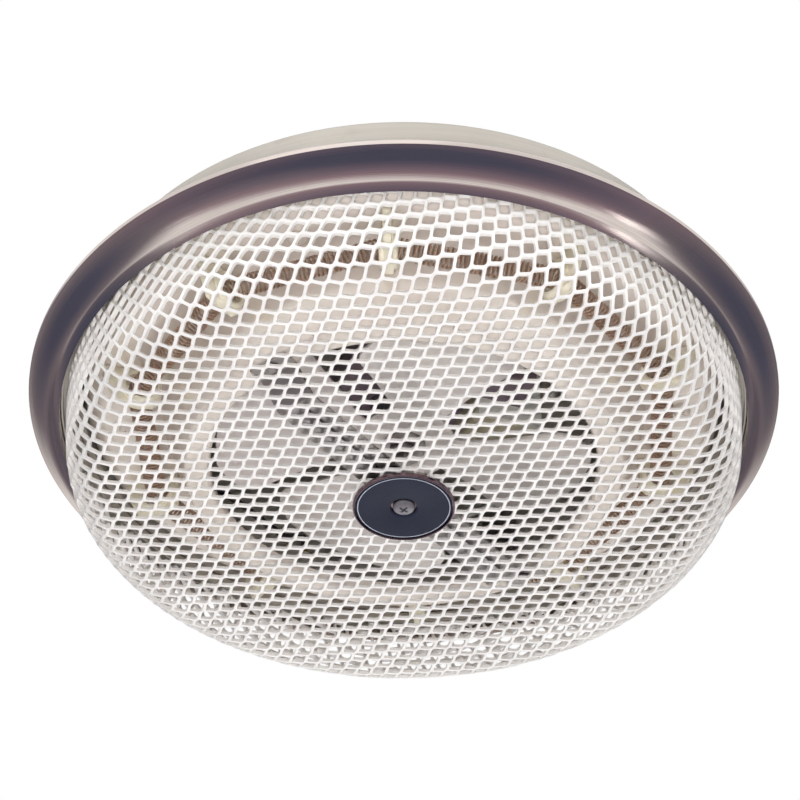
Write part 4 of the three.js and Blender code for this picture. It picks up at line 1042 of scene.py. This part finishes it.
    def net(self) -> Mesh:
        """The whole net: holes, border, wall and ridges, drawn into the basket.

        Returns:
            The closed mesh.
        """
        net = self.flat_net()
        for name in ("front", "ridge"):
            net.verts.layers.int.new(name)
        ridge, front = (net.verts.layers.int.get(name) for name in ("ridge", "front"))
        for vertex in net.verts:
            vertex[ridge] = 1
        cells = net.faces[:]
        rim = [e for e in net.edges if e.is_boundary]
        bmesh.ops.inset_individual(
            net, faces=cells, thickness=self.strand / 2, depth=0.0, use_even_offset=True
        )
        corners = [v for face in cells for v in face.verts]
        for vertex in corners:
            vertex[ridge] = 0
        bmesh.ops.bevel(
            net, geom=corners, offset=self.hole_corner, offset_type="OFFSET", segments=1,
            profile=0.5, affect="VERTICES", material=-1,
        )
        holes = [f for f in net.faces if f.is_valid and len(f.verts) >= self.fewest_hole_sides]
        bmesh.ops.delete(net, geom=holes, context="FACES_ONLY")
        rim = [e for e in rim if e.is_valid]
        for vertex in verts_of(bmesh.ops.extrude_edge_only(net, edges=rim)["geom"]):
            vertex.co *= self.sheet_radius / vertex.co.length
            vertex[ridge] = 0
        face_up(net)
        for vertex in verts_of(bmesh.ops.extrude_face_region(net, geom=net.faces[:])["geom"]):
            vertex[front] = 1
        for vertex in net.verts:
            if vertex[front]:
                height, lean = self.reach - self.ridge * (1 - vertex[ridge]), -self.tilt / 2
            else:
                height, lean = self.reach - self.strand_depth, self.tilt / 2
            vertex.co = self.drawn(Vector((vertex.co.x, vertex.co.y + lean)), height)
        bmesh.ops.recalc_face_normals(net, faces=net.faces)
        return net

    def channel(self) -> Mesh:
        """The channel that is hemmed round the cut edge.

        Returns:
            The channel's mesh.
        """
        half = self.channel_sheet / 2
        outer = self.radius + self.channel_gap + half
        inner = self.radius - self.reach - self.channel_gap - half
        top, bottom = self.channel_top - half, self.channel_top - self.channel_height
        line = [(inner, bottom), (inner, top), (outer, top), (outer, bottom)]
        return thickened(spun(line, self.channel_steps), self.channel_sheet)

    def build(self, workshop: Workshop) -> None:
        """Makes the net and its channel.

        Args:
            workshop: What finishes the pieces.
        """
        workshop.piece(
            "grille_net", self.net(), "grille_aluminium", "grille_basket", sharper_than=60.0
        )
        workshop.piece(
            "grille_channel", self.channel(), "rim_aluminium", "grille_hem",
            finish="drum_aluminium",
        )


@dataclass(frozen=True)
class CrossScrew:
    """A screw that points up, with a domed head below it and a cross recess."""

    head: float
    height: float
    shank: float
    cross: float
    steps: int = 40
    dome_steps: int = 8
    dome_share: float = 0.65
    head_corner: float = 0.15
    end_corner: float = 0.5
    arm_width: float = 0.9
    arm_depth: float = 2.2
    arm_taper: float = 0.5
    arm_degrees: Spot = (40.0, 130.0)

    def mesh(self, top: float, end: float) -> Mesh:
        """Makes the screw.

        Args:
            top: Where the head's flat side lies.
            end: Where the shank ends.

        Returns:
            The screw's mesh, on the Z axis.
        """
        outline = []
        for i in range(self.dome_steps + 1):
            turn = QUARTER * i / self.dome_steps
            rise = (1 - self.dome_share) + self.dome_share * math.cos(turn)
            outline.append((self.head * math.sin(turn), top - self.height * rise))
        outline += [(self.head, top - self.head_corner), (self.head - self.head_corner, top)]
        outline += [(self.shank, top), (self.shank, end + self.end_corner)]
        outline += [(self.shank - self.end_corner, end), (0.0, end)]
        body = spun(outline, self.steps)
        for degrees in self.arm_degrees:
            arm = block(self.cross, self.arm_width, self.arm_depth)
            for vertex in arm.verts:
                if vertex.co.z > 0:
                    vertex.co.x *= self.arm_taper
            turn_about(arm, math.radians(degrees), "Z")
            shift(arm, (0, 0, top - self.height))
            body = cut(body, arm)
        return body


@dataclass
class Badge:
    """The bare round badge in its cup, and the grille's screw through it."""

    radius: float = 19.05
    back: float = -76.5
    height: float = 2.2
    sheet: float = 0.7
    gap: float = 0.3
    cup_corner: float = 0.5
    brim_steps: int = 8
    disc_corner: float = 0.3
    dimple: float = 4.9
    dimple_slope: tuple[Spot, ...] = ((0.9, 0.0), (0.35, 0.12), (0.0, 0.45))
    screw: CrossScrew = CrossScrew(head=4.1, height=1.9, shank=2.0, cross=5.2)
    screw_top: float = -65.9
    steps: int = 96

    def cup(self) -> Mesh:
        """The cup, with a rolled brim.

        Returns:
            The cup's mesh.
        """
        front = self.back - self.height
        floor = self.back - self.sheet
        hole = self.screw.shank + self.gap
        brim = (self.radius - self.sheet / 2, front + self.sheet / 2)
        outline = [(hole, self.back), (self.radius - self.cup_corner, self.back)]
        outline += [(self.radius, self.back - self.cup_corner)]
        outline += arc(brim, self.sheet / 2, 0.0, -math.pi, self.brim_steps)
        outline += [(self.radius - self.sheet, floor), (hole, floor)]
        return spun(outline, self.steps, closed=True)

    def disc(self) -> Mesh:
        """The disc, with a dished hole for the screw's head.

        Returns:
            The disc's mesh.
        """
        edge = self.radius - self.sheet - self.gap
        back = self.back - self.sheet - self.gap
        front = self.back - self.height + self.gap
        outline = [(self.dimple, back), (edge, back)]
        outline += [(edge, front + self.disc_corner), (edge - self.disc_corner, front)]
        outline += [(self.dimple + out, front + up) for out, up in self.dimple_slope]
        return spun(outline, self.steps, closed=True)

    def build(self, workshop: Workshop) -> None:
        """Makes the badge's pieces.

        Args:
            workshop: What finishes the pieces.
        """
        screw = self.screw.mesh(self.back - self.sheet - self.gap, self.screw_top)
        # The tray takes the copper that is darkened into a painted dark reflection.
        workshop.piece("badge_tray", self.cup(), "copper", "badge_cup", finish="copper_with_painted_reflection")
        workshop.piece("badge_face", self.disc(), "dark_plastic", "badge_disc")
        workshop.piece("badge_screw", screw, "dark_steel", "grille_screw")


@dataclass
class Reflector:
    """The dished pan and its screws."""

    sheet: float = 0.6
    throat: float = 73.97
    throat_wall: float = 4.0
    bend: float = 1.6
    bend_steps: int = 6
    land_depth: float = 61.5
    land_width: float = 8.0
    land_edge: tuple[Spot, ...] = ((-0.8, 0.0), (0.0, 0.1), (0.5, 0.8))
    cone: float = 91.6
    cone_lead: float = 0.5
    cone_steps: int = 4
    trough_depth: float = 34.2
    trough: float = 113.99
    radius: float = 121.39
    edge_depth: float = 28.6
    edge_steps: int = 10
    bracket_degrees: tuple[float, ...] = (-111.0, -3.0, 69.0, 177.0)
    screw: CrossScrew = CrossScrew(head=3.4, height=1.9, shank=1.9, cross=4.0)
    screw_distance: float = 105.99
    screw_top: float = -34.8
    screw_length: float = 6.0
    steps: int = 192

    def pan(self) -> Mesh:
        """The pan's sheet, from the throat out to the upturned edge.

        Returns:
            The pan's mesh.
        """
        land, trough = -self.land_depth, -self.trough_depth
        inner = self.throat - self.bend / 2
        line = [(inner, land + self.throat_wall)]
        lip = (inner + self.bend, land + self.bend)
        line += arc(lip, self.bend, math.pi, 3 * QUARTER, self.bend_steps)
        land_end = self.throat + self.land_width
        line += [(land_end + out, land + up) for out, up in self.land_edge]
        line += curve_between(
            (self.cone, trough - self.bend), (self.cone + self.cone_lead, trough),
            (self.cone + self.bend, trough), self.cone_steps,
        )
        middle = (self.trough + self.radius) / 2
        edge = (self.radius, -self.edge_depth)
        line += curve_between((self.trough, trough), (middle, trough), edge, self.edge_steps)
        return thickened(spun(line, self.steps), self.sheet)

    def build(self, workshop: Workshop) -> None:
        """Makes the pan and its screws.

        Args:
            workshop: What finishes the pieces.
        """
        slot = "reflector_aluminium"
        workshop.piece("reflector_dish", self.pan(), slot, "reflector_pan", sharper_than=50.0)
        for i, degrees in enumerate(self.bracket_degrees, start=1):
            screw = self.screw.mesh(self.screw_top, self.screw_top + self.screw_length)
            turn = Matrix.Rotation(math.radians(degrees), 3, "Z")
            shift(screw, turn @ Vector((self.screw_distance, 0, 0)))
            workshop.piece(f"pan_screw_{i}", screw, slot, f"reflector_screw_{i}")


@dataclass
class CoilRing:
    """The wound wire, on a ring of straight runs, and the ceramic supports at its corners."""

    count: int = 10
    first_angle: float = math.radians(123)
    corner: float = 102.99
    corner_steps: int = 8
    depth: float = 43.0
    diameter: float = 8.4
    wire: float = 0.85
    turns: int = 340
    turn_steps: int = 12
    tail: float = 9.0
    leg: float = 5.0
    stub_wire: float = 1.3
    fin_thickness: float = 3.2
    fin_edge: float = 0.5
    fin_top: float = -34.8
    inset: float = 8.2
    overhang: float = 14.0
    drop: float = 7.6
    bore: float = 5.5
    bore_reach: float = 6.0
    bore_edge: float = 0.4
    boss: float = 7.6
    boss_length: float = 6.6
    boss_edge: float = 0.8
    boss_steps: int = 36

    @property
    def support_turn(self) -> float:
        """The angle from one support to the next."""
        return TURN / self.count

    @property
    def support_radius(self) -> float:
        """Where the coil's axis crosses a support."""
        return self.corner - self.leg * math.sin(self.support_turn / 2) / 2

    def meeting(self, i: int) -> Vector:
        """The place where two straight runs would meet."""
        angle = self.first_angle + i * self.support_turn
        return Vector((self.corner * math.cos(angle), self.corner * math.sin(angle), -self.depth))

    def towards(self, i: int, j: int, length: float) -> Vector:
        """A point on the way from one meeting place to the next."""
        return self.meeting(i) + (self.meeting(j) - self.meeting(i)).normalized() * length

    def path(self) -> list[Vector]:
        """The coil's axis.

        Returns:
            Its points: straight runs, rounded corners, and a short tail past each end support.
        """
        points = [self.towards(0, -1, self.tail)]
        for i in range(self.count):
            start, end = self.towards(i, i - 1, self.leg), self.towards(i, i + 1, self.leg)
            for k in range(self.corner_steps + 1):
                share = k / self.corner_steps
                bent = start * (1 - share) ** 2 + self.meeting(i) * 2 * share * (1 - share)
                points.append(bent + end * share**2)
        points.append(self.towards(self.count - 1, self.count, self.tail))
        return points

    def wire_points(self) -> list[Vector]:
        """The centres of the wound wire.

        Returns:
            The points, with a straight stub at each end of the winding.
        """
        path = self.path()
        lengths = [0.0]
        for a, b in zip(path, path[1:]):
            lengths.append(lengths[-1] + (b - a).length)
        count = self.turns * self.turn_steps
        centres = []
        leg = 0
        for i in range(count + 1):
            along = lengths[-1] * i / count
            while leg < len(path) - 2 and lengths[leg + 1] < along:
                leg += 1
            run = path[leg + 1] - path[leg]
            place = path[leg] + run * ((along - lengths[leg]) / run.length)
            ahead = (path[min(leg + 2, len(path) - 1)] - path[max(leg - 1, 0)]).normalized()
            side = ahead.cross(Vector((0, 0, 1)))
            phase = TURN * i / self.turn_steps
            ramp = min(1.0, i / self.turn_steps, (count - i) / self.turn_steps)
            wound = (self.diameter - self.wire) / 2 * ramp
            up = Vector((0, 0, wound * math.sin(phase)))
            centres.append(place + side * (wound * math.cos(phase)) + up)
        first = (path[0] - path[1]).normalized() * self.stub_wire
        last = (path[-1] - path[-2]).normalized() * self.stub_wire
        return [path[0] + first, *centres, path[-1] + last]

    def coil(self, workshop: Workshop) -> None:
        """Makes the wire as a curve with a round section.

        Args:
            workshop: What finishes the piece.
        """
        centres = self.wire_points()
        curve = bpy.data.curves.new("wound_wire", "CURVE")
        curve.dimensions = "3D"
        curve.bevel_depth = self.wire / 2 * MM
        curve.bevel_resolution = 1
        curve.use_fill_caps = True
        spline = curve.splines.new("POLY")
        spline.points.add(len(centres) - 1)
        for point, centre in zip(spline.points, centres):
            point.co = (*(centre * MM), 1.0)
        spline.use_smooth = True
        made = bpy.data.objects.new("wound_wire", curve)
        bpy.context.scene.collection.objects.link(made)
        curve.materials.append(workshop.materials["resistance_wire"])
        workshop.settle(made, "heater_coil", Body.HEATER)

    def fin(self) -> Mesh:
        """A support's fin, along X.

        Returns:
            The fin's mesh, without its bore.
        """
        inner, outer = self.support_radius - self.inset, self.support_radius + self.overhang
        bottom = -self.depth - self.drop
        chamfer = self.inset / 3
        outline = [
            (inner, self.fin_top),
            (inner, bottom + chamfer),
            (inner + chamfer, bottom),
            (self.support_radius + self.inset, bottom),
            (outer, self.fin_top - self.drop / 2),
            (outer, self.fin_top),
        ]
        fin = bmesh.new()
        face = fin.faces.new([fin.verts.new((x, -self.fin_thickness / 2, z)) for x, z in outline])
        copy = bmesh.ops.extrude_face_region(fin, geom=[face])["geom"]
        bmesh.ops.translate(fin, verts=verts_of(copy), vec=(0, self.fin_thickness, 0))
        bmesh.ops.recalc_face_normals(fin, faces=fin.faces)
        softened(fin, self.fin_edge)
        return fin

    def support(self) -> Mesh:
        """One support along X: the fin, the boss round the coil and the bore through both.

        Returns:
            The support's mesh.
        """
        half, reach = self.boss_length / 2, self.bore_reach
        side = [(self.bore, -half + self.bore_edge), (self.bore + self.bore_edge, -half)]
        side += [(self.boss - self.boss_edge, -half), (self.boss, -half + self.boss_edge)]
        side += [(radius, -height) for radius, height in reversed(side)]
        boss = spun(side, self.boss_steps, closed=True)
        bar = [(0.0, -reach), (self.bore, -reach), (self.bore, reach), (0.0, reach)]
        bore = spun(bar, self.boss_steps)
        for shape in (boss, bore):
            turn_about(shape, QUARTER, "X")
            shift(shape, (self.support_radius, 0, -self.depth))
        return cut(cut(self.fin(), bore), boss, "UNION")

    def build(self, workshop: Workshop) -> None:
        """Makes the wire and the supports.

        Args:
            workshop: What finishes the pieces.
        """
        self.coil(workshop)
        for i in range(self.count):
            shape = self.support()
            turn_about(shape, self.first_angle + i * self.support_turn, "Z")
            workshop.piece(f"ceramic_fin_{i + 1}", shape, "ceramic", f"coil_support_{i + 1}")


@dataclass
class Fan:
    """The pressed four-bladed wheel and its turned hub."""

    depth: float = 47.4
    radius: float = 70.97
    sheet: float = 1.0
    disc: float = 21.0
    bore: float = 8.3
    blades: int = 4
    first_angle: float = math.radians(18)
    pitch: float = math.radians(14)
    root: float = 15.0
    root_half: float = math.radians(21)
    tip_half: float = math.radians(36)
    tip_start_share: float = 0.8
    tip_round_share: float = 0.42
    twist_end: float = 35.7
    blade_share: float = 0.6
    blade_lead: float = 1.0
    blade_run: float = 5.0
    seam_gap: float = 0.02
    rings: int = 34
    chords: int = 20
    shaft: float = 3.0
    hub: float = 8.0
    hub_gap: float = 0.3
    hub_rise: float = 6.4
    hub_drop: float = 3.0
    hub_corner: float = 0.6
    hub_flange: float = 12.0
    flange_sheet: float = 1.6
    flange_corner: float = 0.3
    hub_steps: int = 56

    def place(self, radius: float, share: float, sector: int) -> Vector:
        """A point of the sheet.

        Args:
            radius: Its distance from the axis.
            share: Its place across the sector, from -1 to 1. A blade takes up the middle, from
                -blade_share to blade_share.
            sector: Which blade's sector it is in.

        Returns:
            The point, on the middle of the sheet.
        """
        middle = self.first_angle + sector * TURN / self.blades
        spread = max(0.0, (radius - self.root) / (self.radius - self.root))
        half = self.root_half + (self.tip_half - self.root_half) * math.sqrt(spread)
        tip = max(0.0, (radius / self.radius - self.tip_start_share) / (1 - self.tip_start_share))
        half *= 1 - self.tip_round_share * tip * tip
        in_blade = half * share / self.blade_share
        even = share * math.pi / self.blades
        mix = eased((radius - self.disc + self.blade_lead) / self.blade_run)
        turn = even * (1 - mix) + in_blade * mix
        pitch = self.pitch * eased((radius - self.root) / (self.twist_end - self.root))
        rise = radius * math.sin(turn) * math.tan(pitch)
        x, y = radius * math.cos(middle + turn), radius * math.sin(middle + turn)
        return Vector((x, y, rise - self.depth))

    def blade_edge(self, radius: float) -> float:
        """The half angle of a blade at a radius, to its edge."""
        edge = self.place(radius, self.blade_share, 0)
        return math.atan2(edge.y, edge.x) - self.first_angle

    def between_blades(self, centre: Vector) -> bool:
        """Tells whether a point of the sheet lies in a gap between two blades.

        Args:
            centre: The point.

        Returns:
            True in a gap.
        """
        if centre.xy.length <= self.disc:
            return False
        turn = math.atan2(centre.y, centre.x) - self.first_angle
        off = (turn + math.pi / self.blades) % (TURN / self.blades) - math.pi / self.blades
        return abs(off) > self.blade_edge(centre.xy.length)

    def wheel(self) -> Mesh:
        """The sheet: a disc that runs out into the blades.

        Returns:
            The wheel's mesh.
        """
        sheet = bmesh.new()
        width = self.radius - self.bore
        for sector in range(self.blades):
            grid = bmesh.ops.create_grid(
                sheet, x_segments=self.rings, y_segments=self.chords, size=1.0
            )
            for vertex in grid["verts"]:
                radius = self.bore + width * math.sin((vertex.co.x + 1) / 2 * QUARTER)
                vertex.co = self.place(radius, vertex.co.y, sector)
        bmesh.ops.remove_doubles(sheet, verts=sheet.verts, dist=self.seam_gap)
        gaps = [face for face in sheet.faces if self.between_blades(face.calc_center_median())]
        bmesh.ops.delete(sheet, geom=gaps, context="FACES")
        bmesh.ops.recalc_face_normals(sheet, faces=sheet.faces)
        return thickened(sheet, self.sheet)

    def hub_body(self) -> Mesh:
        """The turned hub, with its flange on the wheel's disc.

        Returns:
            The hub's mesh.
        """
        half, corner = self.sheet / 2, self.hub_corner
        top = -self.depth + half + self.hub_rise
        bottom = -self.depth - half - self.hub_drop
        low = -self.depth + half + self.hub_gap
        high = low + self.flange_sheet
        bore = self.shaft + self.hub_gap
        outline = [(bore, top), (self.hub - corner, top), (self.hub, top - corner)]
        outline += [(self.hub, high), (self.hub_flange - self.flange_corner, high)]
        outline += [(self.hub_flange, high - self.flange_corner), (self.hub_flange, low)]
        outline += [(self.hub, low), (self.hub, bottom + corner)]
        outline += [(self.hub - corner, bottom), (bore, bottom)]
        return spun(outline, self.hub_steps, closed=True)

    def build(self, workshop: Workshop) -> None:
        """Makes the wheel and the hub.

        Args:
            workshop: What finishes the pieces.
        """
        rotor = Body.ROTOR
        workshop.piece("fan_blades", self.wheel(), "fan_aluminium", "fan_wheel", rotor, 50.0)
        workshop.piece("turned_hub", self.hub_body(), "plated_steel", "fan_hub", rotor)


# Camera, light and stage


@dataclass(frozen=True)
class Camera:
    """The photograph's camera: below the heater, on its -Y side, looking up at it."""

    distance: float = 1.1
    elevation: float = math.radians(42.198)
    focal_pixels: float = 2815.0
    frame_pixels: float = 800.0
    centre: Spot = (403.81, 352.06)
    sensor: float = 36.0
    nearest: float = 0.05
    farthest: float = 20.0

    def build(self) -> None:
        """Makes the camera and gives it to the scene."""
        data = bpy.data.cameras.new("camera")
        data.sensor_width = self.sensor
        data.lens = self.sensor * self.focal_pixels / self.frame_pixels
        data.shift_x = (self.frame_pixels / 2 - self.centre[0]) / self.frame_pixels
        data.shift_y = (self.centre[1] - self.frame_pixels / 2) / self.frame_pixels
        data.clip_start, data.clip_end = self.nearest, self.farthest
        camera = bpy.data.objects.new("camera", data)
        bpy.context.scene.collection.objects.link(camera)
        ahead = Vector((0, math.cos(self.elevation), math.sin(self.elevation)))
        camera.location = -ahead * self.distance
        camera.rotation_mode = "QUATERNION"
        camera.rotation_quaternion = ahead.to_track_quat("-Z", "Y")
        bpy.context.scene.camera = camera


@dataclass(frozen=True)
class Flag:
    """A dark studio card that only reflections see, which fades out towards its edge."""

    name: str
    place: Place
    radius: float
    stretch: float = 1.0
    core_share: float = 0.25
    tone: Colour = (0.09, 0.095, 0.15)
    edge_tone: Colour = (0.34, 0.25, 0.3)
    steps: int = 64

    def material(self) -> bpy.types.Material:
        """Makes the card's material: dark in the middle, paler further out, clear at the edge.

        Returns:
            The material.
        """
        material = bpy.data.materials.new(self.name)
        graph = Graph.emptied(material)
        place = graph.node("TexCoord").outputs["Object"]
        distance = graph.node("VectorMath", {0: place}, operation="LENGTH").outputs["Value"]
        core = self.core_share * self.radius
        middle = (core + self.radius) / 2
        fade = graph.spread(distance, 0.0, 1.0, middle, self.radius)
        share = graph.spread(distance, 0.0, 1.0, core, middle)
        tone = graph.blend(share, (*self.tone, 1.0), (*self.edge_tone, 1.0))
        dark = graph.node("Emission", {"Color": tone}).outputs[0]
        clear = graph.node("BsdfTransparent").outputs[0]
        mixed = graph.node("MixShader", {0: fade, 1: dark, 2: clear})
        graph.node("OutputMaterial", {"Surface": mixed.outputs[0]})
        return material

    def build(self) -> None:
        """Makes the card, facing the heater."""
        shape = bmesh.new()
        bmesh.ops.create_circle(shape, cap_ends=True, segments=self.steps, radius=self.radius)
        card = loose_object(self.name, shape)
        card.location = self.place
        card.scale = (self.stretch, 1.0, 1.0)
        card.rotation_mode = "QUATERNION"
        card.rotation_quaternion = Vector(self.place).to_track_quat("Z", "Y")
        card.data.materials.append(self.material())
        for kind in ("camera", "diffuse", "transmission", "volume_scatter", "shadow"):
            setattr(card, f"visible_{kind}", False)


@dataclass(frozen=True)
class SoftLamp:
    """An area lamp that looks at the heater."""

    name: str
    place: Place
    size: Spot
    watts: float
    shines: bool = True
    aim: Place = (0.0, 0.0, -0.05)

    def build(self) -> None:
        """Makes the lamp."""
        data = bpy.data.lights.new(self.name, "AREA")
        data.shape = "RECTANGLE"
        data.size, data.size_y = self.size
        data.energy = self.watts
        lamp = bpy.data.objects.new(self.name, data)
        bpy.context.scene.collection.objects.link(lamp)
        lamp.visible_glossy = self.shines
        lamp.location = self.place
        lamp.rotation_mode = "QUATERNION"
        ahead = Vector(self.aim) - Vector(self.place)
        lamp.rotation_quaternion = ahead.to_track_quat("-Z", "Y")


# Tones of the cards at the sides, and of those above
SIDE_EDGE = (0.2, 0.18, 0.21)
HIGH_TONE = (0.12, 0.11, 0.14)
HIGH_EDGE = (0.24, 0.2, 0.23)


@dataclass
class Studio:
    """The floor far below, the white surround, the lamps and the flags."""

    floor_depth: float = 2.4
    floor_size: float = 9.0
    floor_tone: Colour = (0.86, 0.86, 0.86)
    floor_roughness: float = 0.8
    floor_glow: float = 0.4
    dim_strength: float = 0.7
    lamps: tuple[SoftLamp, ...] = (
        SoftLamp("lamp_left", (-1.3, -0.9, -1.1), (0.9, 0.9), watts=3.2),
        SoftLamp("lamp_right", (1.5, -0.5, -0.9), (0.7, 0.9), watts=3.2),
        SoftLamp("lamp_above", (-0.3, -0.9, 1.4), (1.2, 1.0), watts=1.4),
        SoftLamp("lamp_front", (0.0, -0.852, -0.772), (0.16, 0.16), watts=8.2, shines=False),
        SoftLamp("lamp_below", (0.0, 0.25, -1.4), (0.4, 0.4), watts=2.2, shines=False),
    )
    flags: tuple[Flag, ...] = (
        Flag("flag_below", (0.0, -0.35, -0.94), radius=2.1, stretch=1.3, core_share=0.13),
        Flag("flag_left", (-1.02, 0.3, -0.4), radius=1.06, edge_tone=SIDE_EDGE),
        Flag("flag_right", (1.02, 0.36, -0.4), radius=1.08, edge_tone=SIDE_EDGE),
        Flag("flag_left_above", (-0.8, 0.98, 0.42), 0.8, tone=HIGH_TONE, edge_tone=HIGH_EDGE),
        Flag("flag_right_above", (0.8, 0.98, 0.42), 0.8, tone=HIGH_TONE, edge_tone=HIGH_EDGE),
    )

    def surround(self) -> None:
        """A white world for the camera and for reflections, and a dimmer one for its light."""
        world = bpy.data.worlds.new("surround")
        graph = Graph.emptied(world)
        seen = graph.seen_by("Is Camera Ray", "Is Glossy Ray", "Is Transmission Ray")
        strength = graph.spread(seen, self.dim_strength, 1.0)
        background = graph.node("Background", {"Color": WHITE, "Strength": strength})
        graph.node("OutputWorld", {"Surface": background.outputs[0]})
        bpy.context.scene.world = world

    def floor(self) -> None:
        """A plain pale floor, white to the camera except for the shadow on it."""
        shape = bmesh.new()
        bmesh.ops.create_grid(shape, x_segments=1, y_segments=1, size=self.floor_size / 2)
        shift(shape, (0, 0, -self.floor_depth))
        floor = loose_object("floor", shape)
        material = bpy.data.materials.new("pale_floor")
        graph = Graph.emptied(material)
        seen = graph.seen_by("Is Camera Ray", "Is Glossy Ray")
        inputs = {
            "Base Color": (*self.floor_tone, 1.0),
            "Roughness": self.floor_roughness,
            "Emission Color": WHITE,
            "Emission Strength": graph.math("MULTIPLY", seen, self.floor_glow),
        }
        shader = graph.node("BsdfPrincipled", inputs)
        graph.node("OutputMaterial", {"Surface": shader.outputs[0]})
        floor.data.materials.append(material)

    def build(self) -> None:
        """Makes the stage and sets the view transform."""
        self.surround()
        self.floor()
        for item in (*self.lamps, *self.flags):
            item.build()
        bpy.context.scene.view_settings.view_transform = "Standard"


def dress_nodes(frame: dict, materials: dict[str, bpy.types.Material]) -> None:
    """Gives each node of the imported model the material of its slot.

    Args:
        frame: What the frame's loader gave.
        materials: The materials by slot.
    """
    slots = {row["node"]: row["material_slot"] for row in frame["record"]["subparts"]}
    for name, node in frame["nodes"].items():
        node.data.materials.clear()
        node.data.materials.append(materials[slots[name]])


def main() -> None:
    """Loads the frame, builds the camera, the pieces and the stage."""
    logging.basicConfig(level=logging.INFO, format="%(name)s: %(message)s")
    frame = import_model()
    Camera().build()
    groups = SurfaceGroups()
    materials = {finish.name: finish.build(groups) for finish in FINISHES}
    dress_nodes(frame, materials)
    workshop = Workshop(materials)
    for assembly in (Drum, TrimRing, GrilleBasket, Badge, Reflector, CoilRing, Fan):
        assembly().build(workshop)
    Studio().build()
    log.info("%d pieces made", workshop.made)


if __name__ == "__main__":
    main()
